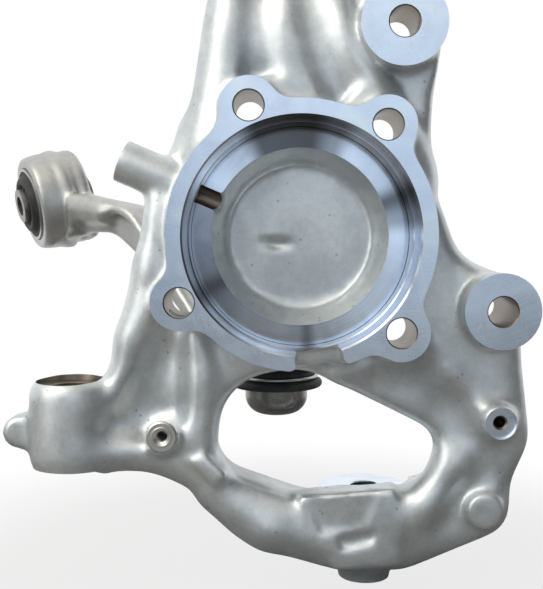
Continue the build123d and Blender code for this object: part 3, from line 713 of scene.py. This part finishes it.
def casting_pattern():
    """The casting with stock on its machined faces, its bores closed, and its cast relief."""
    stock = sizes().stock / MM
    clay = Pattern("knuckle_casting", sizes().grid / MM)

    # Closed bores and stock
    clay.add(flange_stock(stock))
    clay.add(level((0, 0), -stock, 19.5, 54, 38))
    for bolt in BOLTS:
        clay.add(level(bolt, -stock, 33, 8))
    for ear, radius, back in ((UPPER_EAR, 19, 31.9), (LOWER_EAR, 17, 45.5)):
        clay.add(level(ear, 4 - stock, 10, radius))
        clay.add(level(ear, 5, back, 8.5))
    for start, radius in ((47, 5.5), (80, 9.7)):
        near, far = SENSOR_WAY * start, SENSOR_WAY * (87 + stock)
        clay.add(slug((near.x, SENSOR_DEPTH, near.z), (far.x, SENSOR_DEPTH, far.z), radius))
    for place, radius, bottom, top, core in (
        (STEER_BOSS, 15, -105, -68, 10),
        (LOWER_BOSS, 12.5, -166, -150, 11),
        (UPPER_EYE, 16.5, 152, 180, 9.5),
        (STUD, 15.5, -47, -27, 9),
    ):
        clay.add(upright(place, bottom - stock, top + stock, radius))
        clay.add(upright(place, bottom - stock, top, core))
    clay.add(upright(LOWER_BOSS, -150, LAND_HEIGHT + stock, 11))
    clay.add(upright(LOWER_BOSS, -127, LAND_HEIGHT + stock, 21))
    clay.add(upright(UPPER_EYE, 133, 152, 9.5))
    clay.add(block((-14.5, 54, 133), (-9.5, 85.5, 180)))
    clay.add(block((-24, 56, 170), (0, 86, 180 + stock)))
    clay.add(slug((-24, *PINCH_BOLT), (0, *PINCH_BOLT), 5.5))
    clay.add(level(INSERT_BOSS, 7, 26, 9))
    clay.add(level(BRACKET_BOSS, 7, 28, 7.8))
    clay.take(plate(notch_corners(49.5, 75, 10.5), -6, 10))

    # Ridges
    clay.add(upright(STEER_BOSS, -103, -71, 14.6), 11.0)
    clay.add(rod((-98, 16.5, -77), (-82, 21, -83), 9, 6.5), 7.0)
    clay.add(rod((-99, 14.5, -98), (-82, 18, -98), 8.5, 6.5), 7.0)
    for points, radii in (
        ([(-85, 25, -80), (-76, 22, -47), (-67, 20, -14), (-62, 18, 14)], (7, 9, 9, 8)),
        ([(-99, 23, -97), (-76, 22, -98), (-52, 21, -105)], (8.5, 8, 8)),
        ([(-50, 19, -42), (-46.5, 20, -66), (-47, 20, -92)], (8, 9, 9)),
        ([(50, 18, -49), (64, 19, -63), (82, 19, -77)], (7.5, 7.5, 6.5)),
        ([(76, 24, -84), (71, 22, -104), (59, 21, -124), (45, 22, -131)], (8, 9.5, 10, 9)),
        ([(-40, 21, -117), (-14, 21, -134), (14, 23, -141)], (9.5, 10.5, 9)),
        ([(59, 20, -56), (36, 19, -58), (20, 18, -60)], (5, 6.5, 6)),
    ):
        for piece in chain(points, radii):
            clay.add(piece, 5.0)

    # Hollows
    for points, radii in (
        ([(-84, 10, -84), (-71, 9, -76), (-62, 10, -56), (-57, 11, -40)], (6, 10, 9, 7)),
        ([(-71, 10, -84), (-62, 10, -78), (-58, 10, -66)], (8, 8, 7)),
        ([(37, 10, -63), (48, 11.5, -68)], (5, 3.8)),
        ([(57, 9, -61), (67, 9, -76), (73, 10, -90)], (5.5, 7.5, 6)),
        ([(93, 10, -96), (93, 10, -104)], (5, 5)),
        ([(82, 10, -104), (75, 10.5, -117), (65, 12, -131)], (4, 5, 5)),
        ([(-31, 8, -63), (-10, 8, -63)], (5, 5)),
    ):
        for piece in chain(points, radii):
            clay.take(piece, 6.0)

    # Large forms run into each other; the back, the hub and the bosses stay as they are
    clay.soften(sizes().flow / MM, [
        block((-220, 36, -220), (220, 260, 220)),
        level((0, 0), -10, 60, 64),
        *(level(bolt, -10, 40, 15) for bolt in BOLTS),
        level(UPPER_EAR, -5, 34, 22),
        level(LOWER_EAR, -5, 48, 20),
        slug(SENSOR_WAY * 58, SENSOR_WAY * 96, 22),
        upright(STEER_BOSS, -115, -58, 12),
        block((-145, 5, -106), (-119, 42, -76)),
        level(INSERT_BOSS, 5, 28, 9),
    ])

    # Small boss right of the window, with its gusset, and the round and square pads of the frame
    clay.add(level(BRACKET_BOSS, 7, 28, 7.8), 3.0)
    clay.add(rod((87.5, 15.0, -81.2), (81.8, 14.0, -76.0), 4.4, 2.8), 1.5)
    clay.add(level((83.5, -124), 10.4, 27, 8.7), 1.5)
    clay.add(plate([(-50.6, -99.7), (-42.9, -96.6), (-31.8, -107.2), (-38.2, -112.6)], 8.3, 20), 1.0)

    # Keel with its two flat pads
    clay.add(plate([(-1, -118), (44, -114), (45, -150), (16, -152)], 13.6, 30), 4.0)
    clay.take(plate([(2.5, -119.5), (35, -116), (29.5, -132.5), (9.5, -134.5)], 6, 14.8), 1.2)
    clay.take(plate([(16.5, -137), (34.5, -133.5), (33, -139), (19, -142.5)], 6, 15.6), 1.2)
    clay.add(upright(LOWER_BOSS, -160, -140, 15), 6.0)

    # Floor of the hub, and the gate mark in it
    clay.take(level((0, 0), 18, 28.5, 31.5), 11.0)
    for piece in chain([(-17, 31.0, -2.2), (-11, 31.4, -3.0), (-4.5, 31.0, -3.2)], (2.0, 3.0, 2.0)):
        clay.take(piece)
    clay.add(rod((-13, 32.8, 0.8), (-7, 32.8, 0.8), 2.0), 0.8)
    clay.soften(sizes().softness / MM)
    return clay


def casting_tools():
    """Volumes that the machine shop takes off."""
    milled, turned, shaded_bore = "milled_aluminium", "turned_aluminium", "bored_aluminium"
    edge = sizes().break_edge / MM
    # The hub's middle, how far a hole's tool reaches, and the radii of the bolt and ear holes
    hub, through, bolt_r, ear_r = (0, 0, 0), 62, 6.5, 6.6
    seat = [
        (-6, 0), (-6, 52.3), (0, 52.3), (0.8, 51.5), (9, 51.5), (9, 50.1), (9.6, 49.5),
        (19.8, 49.5), (19.8, 50.1), (21, 50.1), (21, 0),
    ]
    tools = [
        ("flange_face", [(-12, 0), (-12, 77), (0, 77), (0, 0)], hub, HUB_BACKWARD, milled, 96),
        ("bearing_seat", seat, hub, HUB_BACKWARD, "seat_aluminium", 160),
    ]
    for x, z in BOLTS:
        rim = bolt_r + edge
        hole = [(-5, 0), (-5, rim), (0, rim), (edge, bolt_r), (through, bolt_r), (through, 0)]
        spotface = [(31.5, 0), (31.5, 11.4), (through, 11.4), (through, 0)]
        tools += [
            ("bolt_hole", hole, (x, 0, z), HUB_BACKWARD, shaded_bore, 48),
            ("spotface", spotface, (x, 0, z), HUB_BACKWARD, turned, 64),
        ]
    for (x, z), reach in ((UPPER_EAR, 21.5), (LOWER_EAR, 19.5)):
        face = [(-8, 0), (-8, reach), (4, reach), (4, 0)]
        rim = ear_r + edge
        hole = [(-5, 0), (-5, rim), (4, rim), (4 + edge, ear_r), (through, ear_r), (through, 0)]
        tools += [
            ("ear_face", face, (x, 0, z), HUB_BACKWARD, milled, 96),
            ("ear_hole", hole, (x, 0, z), HUB_BACKWARD, shaded_bore, 48),
        ]
    sensor = [
        (38.5, 0), (38.5, 3.7), (39.3, 4.5), (87 - edge, 4.5), (87, 4.5 + edge), (87, 12), (95, 12),
        (95, 0),
    ]
    tie_rod = [
        (-112, 0), (-112, 19), (-105, 19), (-105, 6.4 + edge), (-105 + edge, 6.4),
        (-68 - edge, 8.2), (-68, 8.2 + edge), (-68, 15.2), (-60, 16.5), (-60, 0),
    ]
    lower_joint = [
        (-174, 0), (-174, 15), (-166, 15), (-166, 9.2 + edge), (-166 + edge, 9.2),
        (LAND_HEIGHT - edge, 7), (LAND_HEIGHT, 7 + edge), (LAND_HEIGHT, 21.8), (-110, 21.8), (-110, 0),
    ]
    insert = [(0, 0), (0, 7.4), (9, 7.4), (9, 4.6), (24, 4.6), (24, 0)]
    bracket_face = [(2, 0), (2, 7.2), (9.7, 7.2), (10, 6.9), (10, 0)]
    bracket_hole = [(8, 0), (8, 3.3), (10, 3.3), (10.8, 2.5), (26, 2.5), (27.2, 0)]
    clamp = [(131, 0), (132, 8), (180 - edge, 8), (180, 8 + edge), (188, 8 + edge), (188, 0)]
    lug = [(-56, 0), (-56, 17), (-47, 17), (-47, 7.6), (-27, 6.4), (-27, 17), (-18, 17), (-18, 0)]
    pinch = [(-40, 0), (-40, 4.2), (16, 4.2), (16, 0)]
    tools += [
        ("sensor_bore", sensor, (0, SENSOR_DEPTH, 0), SENSOR_WAY, shaded_bore, 48),
        ("tie_rod_bore", tie_rod, STEER_BOSS, UP, shaded_bore, 64),
        ("lower_joint_bore", lower_joint, LOWER_BOSS, UP, turned, 96),
        ("insert_seat", insert, INSERT_BOSS, HUB_BACKWARD, milled, 64),
        ("bracket_seat", bracket_face, BRACKET_BOSS, HUB_BACKWARD, milled, 48),
        ("bracket_hole", bracket_hole, BRACKET_BOSS, HUB_BACKWARD, shaded_bore, 32),
        ("clamp_bore", clamp, UPPER_EYE, UP, turned, 64),
        ("lug_bore", lug, STUD, UP, turned, 64),
    ]
    face = [(-30, 30), (8, 30), (8, 94), (-30, 94)]
    slot = [(-13.5, 56), (-10.5, 56), (-10.5, 94), (-13.5, 94)]
    return [
        *(turned_mesh(*tool) for tool in tools),
        prism_mesh("clamp_face", face, 180, 190, milled),
        prism_mesh("clamp_slot", slot, 132.5, 191, milled),
        turned_mesh("pinch_bolt_hole", pinch, (0, *PINCH_BOLT), (1, 0, 0), shaded_bore, 32),
    ]


class KNUCKLE_OT_casting(Operator):
    """Moulds the casting and machines its faces and bores"""

    bl_idname = "knuckle.casting"
    bl_label = "Casting"

    def execute(self, context):
        piece = new_object("casting", casting_pattern().mesh("casting", "blasted_casting"))
        thin_out(piece, 0.55)
        cut(piece, casting_tools())
        finished(piece, 32, "knuckle_casting", "knuckle")
        return {"FINISHED"}


# Turned, moulded and threaded pieces

# Depth of a thread as a share of its pitch
THREAD_DEPTH = 0.55


def arc(middle, radius, start, end, steps=12):
    """Points of a profile's arc, from one angle to another: 0 points outwards, 90 along the axis."""
    along, out = middle
    turns = [radians(start + (end - start) * k / steps) for k in range(steps + 1)]
    return [(along + radius * sin(t), max(out + radius * cos(t), 0.0)) for t in turns]


def flowing(points, steps=5):
    """A smooth run through the points of a profile."""
    rows = [np.array(p, float) for p in points]
    rows = [2 * rows[0] - rows[1], *rows, 2 * rows[-1] - rows[-2]]
    run = []
    for a, b, c, d in zip(rows, rows[1:], rows[2:], rows[3:]):
        for k in range(steps):
            t = k / steps
            p = b + 0.5 * t * (c - a + t * (2 * a - 5 * b + 4 * c - d + t * (3 * (b - c) + d - a)))
            run.append((float(p[0]), float(p[1])))
    run.append(tuple(float(v) for v in rows[-2]))
    return run


def joined(name, meshes):
    """One mesh of several; each face keeps its finish."""
    work = bmesh.new()
    finishes = []
    for mesh in meshes:
        first = len(work.faces)
        work.from_mesh(mesh)
        work.faces.ensure_lookup_table()
        for face in work.faces[first:]:
            finish = mesh.materials[face.material_index].name
            if finish not in finishes:
                finishes.append(finish)
            face.material_index = finishes.index(finish)
        bpy.data.meshes.remove(mesh)
    made = bpy.data.meshes.new(name)
    work.to_mesh(made)
    work.free()
    for finish in finishes:
        made.materials.append(material(finish))
    return made


def thread_tree():
    """Node tree of a screw thread: a pointed ridge that climbs round the Z axis."""
    tree = bpy.data.node_groups.new("screw_thread", "GeometryNodeTree")
    tree.is_modifier = True
    for label, value in (("Radius", 0.005), ("Pitch", 0.001), ("Length", 0.01), ("Depth", 0.0004)):
        socket = tree.interface.new_socket(label, in_out="INPUT", socket_type="NodeSocketFloat")
        socket.default_value = value
    tree.interface.new_socket("Finish", in_out="INPUT", socket_type="NodeSocketMaterial")
    tree.interface.new_socket("Geometry", in_out="OUTPUT", socket_type="NodeSocketGeometry")
    given = tree.nodes.new("NodeGroupInput").outputs
    turns = maths(tree, "DIVIDE", given["Length"], given["Pitch"])
    half_width = times(tree, given["Pitch"], 0.46)
    helix = node(tree, "GeometryNodeCurveSpiral", {
        "Resolution": 36,
        "Rotations": turns,
        "Start Radius": given["Radius"],
        "End Radius": given["Radius"],
        "Height": given["Length"],
        "Reverse": True,
    })
    path = node(tree, "GeometryNodeSetCurveNormal", {"Curve": helix.outputs["Curve"]}, mode="Z_UP")
    diamond = node(
        tree, "GeometryNodeCurvePrimitiveCircle", {"Resolution": 4, "Radius": 1.0}, mode="RADIUS"
    )
    size = node(tree, "ShaderNodeCombineXYZ", {"X": given["Depth"], "Y": half_width, "Z": 1.0})
    ridge = node(tree, "GeometryNodeTransform", {
        "Geometry": diamond.outputs["Curve"], "Scale": size.outputs[0],
    })
    swept = node(tree, "GeometryNodeCurveToMesh", {
        "Curve": path.outputs[0], "Profile Curve": ridge.outputs[0], "Fill Caps": True,
    })
    real = node(tree, "GeometryNodeRealizeInstances", {"Geometry": swept.outputs["Mesh"]})
    dressed = node(tree, "GeometryNodeSetMaterial", {
        "Geometry": real.outputs[0], "Material": given["Finish"],
    })
    node(tree, "NodeGroupOutput", {"Geometry": dressed.outputs[0]})
    return tree


def thread_mesh(radius, pitch, start, axis, span, finish):
    """A thread's ridge as a mesh at its place, in millimetres; the pitch is in metres."""
    holder = new_object("thread", bpy.data.meshes.new("thread"))
    step = holder.modifiers.new("thread", "NODES")
    step.node_group = bpy.data.node_groups.get("screw_thread") or thread_tree()
    values = {
        "Radius": radius * MM,
        "Pitch": pitch,
        "Length": span * MM,
        "Depth": pitch * THREAD_DEPTH,
        "Finish": material(finish),
    }
    for item in step.node_group.interface.items_tree:
        if item.in_out == "INPUT":
            step[item.identifier] = values[item.name]
    made = evaluated_mesh(holder)
    remove_object(holder)
    axis, side, other = frame_of(axis)
    place = Matrix((side, other, axis)).transposed().to_4x4()
    place.translation = Vector(start) * MM
    made.transform(place)
    outwards(made)
    return made


def finished(piece, angle, node_name, body):
    smooth(piece.data, angle)
    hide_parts(node_name)
    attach(piece, body)
    return piece


class KNUCKLE_OT_hose_insert(Operator):
    """Threaded insert in the small boss left of the window"""

    bl_idname = "knuckle.hose_insert"
    bl_label = "Hose bracket insert"

    def execute(self, context):
        pitch = sizes().thread_pitch
        bore = 2.5 + pitch / MM * THREAD_DEPTH
        profile = [
            (6.8, bore + 0.8), (6.8, 4.4), (7.1, 4.7), (7.1, 6.3), (7.35, 6.75), (7.8, 7.1), (8.9, 7.1),
            (8.9, 4.6), (22.4, 4.6), (23, 4.0), (23, bore), (7.6, bore),
        ]
        start = Vector(INSERT_BOSS) + HUB_BACKWARD * 7.7
        piece = new_object("hose_insert", joined("hose_insert", [
            turned_mesh("hose_insert", profile, INSERT_BOSS, HUB_BACKWARD, "zinc_plate", 72),
            thread_mesh(bore, pitch, start, HUB_BACKWARD, 14.6, "zinc_plate"),
        ]))
        finished(piece, 28, "hose_bracket_insert", "knuckle")
        return {"FINISHED"}


class KNUCKLE_OT_link(Operator):
    """Forged link with its ball joint ring and bush eye"""

    bl_idname = "knuckle.link"
    bl_label = "Link"

    def execute(self, context):
        clay = Pattern("link_arm", sizes().link_grid / MM)
        clay.add(upright(STUD, -83, -73.5, 17.5))
        clay.take(upright(STUD, -88, -78.2, 23), 1.5)
        clay.add(rod((-135, 168, 19), (-114, 147, 15), 9, 6), 8.0)
        clay.add(slug(EYE + EYE_AXIS * -15.9, EYE + EYE_AXIS * 15.9, 25))
        for reach, radius, tube in ((-12.5, 27.7, 2.4), (-1.5, 27.9, 2.5), (12.0, 26.9, 2.2)):
            clay.add(hoop(EYE + EYE_AXIS * reach, EYE_AXIS, radius, tube), 3.0)
        for reach, tube in ((-7.5, 2.4), (4.2, 1.6), (8.6, 1.6)):
            clay.take(hoop(EYE + EYE_AXIS * reach, EYE_AXIS, 32.4, tube), 3.0)
        clay.soften(sizes().link_softness / MM)
        piece = new_object("link", clay.mesh("link", "blasted_forging"))
        thin_out(piece, 0.6)
        ring = [
            (-88, 0), (-88, 16.9), (-83, 16.9), (-82.3, 16.2), (-74.2, 16.2), (-73.5, 16.9),
            (-70, 16.9), (-70, 0),
        ]
        eye = [
            (-24, 0), (-24, 23.8), (-16, 23.8), (-15.2, 23), (15.2, 23), (16, 23.8),
            (24, 23.8), (24, 0),
        ]
        cut(piece, [
            turned_mesh("joint_ring_bore", ring, STUD, UP, "stud_steel"),
            turned_mesh("eye_bore", eye, EYE, EYE_AXIS, "turned_steel"),
        ])
        finished(piece, 32, "link_arm", "link")
        return {"FINISHED"}


class KNUCKLE_OT_ball_stud(Operator):
    """Ball stud with its rolled thread, and the flanged nut that holds it in the rear lug"""

    bl_idname = "knuckle.ball_stud"
    bl_label = "Ball stud and nut"

    def execute(self, context):
        pitch = sizes().stud_pitch
        root = 6.0 - pitch / MM * THREAD_DEPTH
        profile = arc((BALL.z, 0), 11.5, -90, 57.4, 36) + [
            (-57.5, 6.2), (-57, 6.2), (-55, 7.4), (-49.5, 7.4), (-49.5, 8.6), (-49.1, 9), (-47.4, 9),
            (-47, 8.6), (-47, 7.6), (-27, 6.4), (-27, root), (-13, root), (-12, root - 1), (-12, 0),
        ]
        stud = new_object("stud", joined("stud", [
            turned_mesh("ball_stud", profile, STUD, UP, "stud_steel"),
            thread_mesh(root, pitch, Vector(STUD) - UP * 26.2, UP, 13.0, "stud_steel"),
        ]))
        finished(stud, 28, "ball_stud", "knuckle")

        corners = [on_circle(9 / cos(radians(30)), 60 * k) for k in range(6)]
        corners = [(BALL.x + u, BALL.y + v) for u, v in corners]
        hexagon = new_object("hexagon", prism_mesh("hexagon", corners, -26.6, -16, "zinc_plate"))
        chamfer = [(-17.4, 11.4), (-15.5, 8.1), (-14, 8.1), (-14, 14), (-17.4, 14)]
        bore = [(-30, 0), (-30, 6.2), (-16.8, 6.2), (-16, 7), (-14, 7), (-14, 0)]
        flange = [
            (-27, 6.2), (-27, 11.2), (-26.7, 11.5), (-26, 11.5), (-25.6, 11.2), (-24.8, 8.6),
            (-24.8, 6.2),
        ]
        cut(hexagon, [
            turned_mesh("nut_chamfer", chamfer, STUD, UP, "zinc_plate", 64),
            turned_mesh("nut_bore", bore, STUD, UP, "zinc_plate", 64),
        ])
        hex_mesh = hexagon.data.copy()
        remove_object(hexagon)
        flange_mesh = turned_mesh("nut_flange", flange, STUD, UP, "zinc_plate")
        nut = new_object("nut", joined("nut", [hex_mesh, flange_mesh]))
        finished(nut, 28, "stud_nut", "knuckle")
        return {"FINISHED"}


class KNUCKLE_OT_boot(Operator):
    """Rubber boot over the ball joint"""

    bl_idname = "knuckle.boot"
    bl_label = "Boot"

    def execute(self, context):
        foot, top = -73.45, -49.55
        outside = [
            (foot, 18.95), (-74.4, 19.1), (-75.8, 19.6), (-76.9, 20.9), (-76.8, 22.8), (-75.4, 23.9),
            (-73.6, 23.4), (-72.7, 21.6), (-72.3, 20.2), (-72.1, 19.8), (-71.35, 19.6), (-70.5, 19.8),
            (-70.2, 20.2), (-69.4, 20.1), (-68.6, 19.8), (-67.4, 20.8), (-65.6, 22.8), (-63.4, 23.9),
            (-61.2, 23.4), (-59.4, 21.7), (-58.3, 21.1), (-57.0, 21.7), (-55.5, 21.5), (-54.2, 20.0),
            (-53.5, 18.0), (-53.6, 16.2), (-53.4, 14.6), (-52.8, 12.8), (-52.5, 11.2), (-52.45, 10.1),
        ]
        lip = [
            (-52.45, 10.0), (-52.3, 9.5), (-51.55, 9.35), (-50.8, 9.5), (-50.6, 10.0), (top, 10.0),
            (top, 7.45),
        ]
        inside = [
            (-53.5, 7.45), (-54.6, 10.0), (-55.6, 15.5), (-56.6, 18.6), (-58.4, 18.9), (-60.8, 20.9),
            (-63.4, 21.7), (-66.0, 20.4), (-69.0, 16.3), (-70.0, 16.25),
        ]
        profile = flowing(outside, 4) + lip + flowing(inside, 4) + [(foot, 16.25)]
        piece = new_object("boot", turned_mesh("boot", profile, STUD, UP, "moulded_rubber", 112))
        smooth(piece.data, 50)
        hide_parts("ball_joint_boot")
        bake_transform(piece)
        return {"FINISHED"}


class KNUCKLE_OT_bush(Operator):
    """Rubber of the bush in the link's eye"""

    bl_idname = "knuckle.bush"
    bl_label = "Bush"

    def execute(self, context):
        face = flowing([
            (16.0, 21.2), (16.9, 20.8), (17.4, 19.8), (17.2, 18.9), (18.6, 18.0), (20.0, 16.8),
            (20.4, 15.6), (20.1, 14.0), (19.0, 12.8), (18.0, 12.2), (17.9, 11.3), (18.6, 10.5),
        ], 4)
        profile = face + [(-along, radius) for along, radius in reversed(face)]
        cushion = turned_mesh("bush_cushion", profile, EYE, EYE_AXIS, "moulded_rubber", 112)
        piece = new_object("bush_cushion", cushion)
        finished(piece, 50, "bush_rubber", "link")
        return {"FINISHED"}


class KNUCKLE_OT_plain_pieces(Operator):
    """Finishes of the cup, the seat, the clamp rings and the sleeves, which keep their solids"""

    bl_idname = "knuckle.plain_pieces"
    bl_label = "Cup, seat, rings and sleeves"

    def execute(self, context):
        for node_name, finish in (
            ("ball_joint_housing", "phosphated_steel"),
            ("ball_seat", "moulded_plastic"),
            ("boot_stud_ring", "stud_steel"),
            ("boot_housing_ring", "stud_steel"),
            ("bush_outer_sleeve", "turned_steel"),
            ("bush_inner_sleeve", "core_steel"),
        ):
            # A CAD node keeps its shape and gets a finish
            for place in frame["nodes"][node_name].material_slots:
                place.link = "OBJECT"
                place.material = material(finish)
        return {"FINISHED"}


# Studio

def seen(tree, mirrored):
    """1 for camera rays, and the mirrored share for rays that a surface reflects or lets through."""
    path = node(tree, "ShaderNodeLightPath").outputs
    shine = maths(tree, "MAXIMUM", path["Is Glossy Ray"], path["Is Transmission Ray"])
    return maths(tree, "MAXIMUM", path["Is Camera Ray"], times(tree, shine, mirrored))


def studio_world():
    """White behind the object, and a soft room in front of it."""
    world = bpy.data.worlds.new("studio")
    world.use_nodes = True
    tree = world.node_tree
    way = node(tree, "ShaderNodeTexCoord").outputs["Generated"]
    x, y, z = node(tree, "ShaderNodeSeparateXYZ", {0: way}).outputs
    low = mix_colour(tree, ramp(tree, z, -0.5, -0.02), (0.022, 0.018, 0.014), (0.44, 0.53, 0.66))
    room = mix_colour(tree, ramp(tree, z, 0.0, 0.65), low, (1.05, 1.0, 0.92))
    room = mix_colour(tree, ramp(tree, x, -0.05, 0.85), room, (0.10, 0.105, 0.12))
    room = mix_colour(tree, ramp(tree, x, -0.35, -0.95), room, (0.85, 0.88, 0.88))
    patches = times(tree, ramp(tree, noise(tree, way, 5.2), 0.50, 0.60), 0.7)
    room = mix_colour(tree, patches, room, (0.05, 0.04, 0.035))
    white = seen(tree, ramp(tree, y, -0.05, 0.35))
    light = tree.nodes["Background"]
    tree.links.new(mix_colour(tree, white, room, (1, 1, 1)), light.inputs["Color"])
    light.inputs["Strength"].default_value = 1.0
    bpy.context.scene.world = world


def studio_floor():
    """Pale floor that is white away from the object and keeps its shadow."""
    finish, tree, shader = new_material("studio_floor")
    shader.inputs["Base Color"].default_value = (*colours().floor, 1)
    shader.inputs["Roughness"].default_value = 0.9
    place = node(tree, "ShaderNodeTexCoord").outputs["Object"]
    away = node(tree, "ShaderNodeSeparateXYZ", {0: place}).outputs["Y"]
    around = ramp(tree, vector(tree, "DISTANCE", place, (0, 0.05, 0))["Value"], 0.20, 0.34)
    share = maths(tree, "MULTIPLY_ADD", around, 0.2, 0.8)
    share = times(tree, seen(tree, ramp(tree, away, 0.15, 0.5)), share)
    glow = node(tree, "ShaderNodeEmission", {"Color": (1, 1, 1, 1), "Strength": 1.0})
    both = node(tree, "ShaderNodeMixShader", {0: share, 1: shader.outputs[0], 2: glow.outputs[0]})
    tree.links.new(both.outputs[0], tree.nodes["Material Output"].inputs["Surface"])
    mesh = bpy.data.meshes.new("floor")
    half, ground = 4.0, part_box("knuckle_casting")[0][2] - 0.0005
    corners = [(x, y, ground) for x, y in ((-half, -half), (half, -half), (half, half), (-half, half))]
    mesh.from_pydata(corners, [], [(0, 1, 2, 3)])
    mesh.materials.append(finish)
    new_object("floor", mesh)


def aimed(name, data, place, target):
    """A lamp or camera at a place, turned to its target."""
    holder = new_object(name, data)
    holder.location = place
    holder.rotation_euler = (Vector(target) - Vector(place)).to_track_quat("-Z", "Y").to_euler()
    return holder


class KNUCKLE_OT_studio(Operator):
    """Floor, lamps, background and camera"""

    bl_idname = "knuckle.studio"
    bl_label = "Studio"

    def execute(self, context):
        scene = bpy.context.scene
        scene.view_settings.view_transform = "Standard"
        studio_world()
        studio_floor()
        for name, place, target, size, power, tone in (
            ("key", (-0.75, -0.62, 0.75), (-0.02, 0.03, -0.02), 1.2, 7.0, (1.0, 0.955, 0.86)),
            ("side", (-1.0, -0.75, 0.12), (-0.04, 0.02, -0.04), 0.6, 1.4, (1.0, 0.99, 0.96)),
            ("fill", (0.25, -1.15, 0.30), (0.0, 0.02, -0.03), 1.0, 0.9, (0.80, 0.91, 1.0)),
        ):
            light = bpy.data.lights.new(name, "AREA")
            light.shape = "DISK"
            light.size = size
            light.energy = power
            light.color = tone
            aimed(name, light, place, target)
        camera = bpy.data.cameras.new("camera")
        camera.sensor_fit = "HORIZONTAL"
        camera.sensor_width = 36.0
        camera.lens = 55.5
        camera.clip_start = 0.01
        scene.camera = aimed("camera", camera, (-0.013, -0.360, -0.004), (-0.013, 0.0, -0.025))
        return {"FINISHED"}


STEPS = (
    KNUCKLE_OT_casting,
    KNUCKLE_OT_hose_insert,
    KNUCKLE_OT_link,
    KNUCKLE_OT_ball_stud,
    KNUCKLE_OT_boot,
    KNUCKLE_OT_bush,
    KNUCKLE_OT_plain_pieces,
    KNUCKLE_OT_studio,
)


class KNUCKLE_PT_panel(Panel):
    """Steps of the steering knuckle, with its sizes and colours"""

    bl_idname = "KNUCKLE_PT_panel"
    bl_label = "Steering knuckle"
    bl_space_type = "VIEW_3D"
    bl_region_type = "UI"
    bl_category = "Knuckle"

    def draw(self, context):
        layout = self.layout
        for step in STEPS:
            layout.operator(step.bl_idname)
        for group_name in ("knuckle_sizes", "knuckle_colours"):
            values = getattr(context.scene, group_name)
            column = layout.column(align=True)
            for key in values.bl_rna.properties.keys():
                if key not in ("rna_type", "name"):
                    column.prop(values, key)


CLASSES = (KnuckleSizes, KnuckleColours, *STEPS, KNUCKLE_PT_panel)


def register():
    for kind in CLASSES:
        bpy.utils.register_class(kind)
    bpy.types.Scene.knuckle_sizes = PointerProperty(type=KnuckleSizes)
    bpy.types.Scene.knuckle_colours = PointerProperty(type=KnuckleColours)


def unregister():
    del bpy.types.Scene.knuckle_colours
    del bpy.types.Scene.knuckle_sizes
    for kind in reversed(CLASSES):
        bpy.utils.unregister_class(kind)


def main():
    register()
    make_materials()
    for step in STEPS:
        area, name = step.bl_idname.split(".")
        getattr(getattr(bpy.ops, area), name)()


if __name__ == "__main__":
    main()
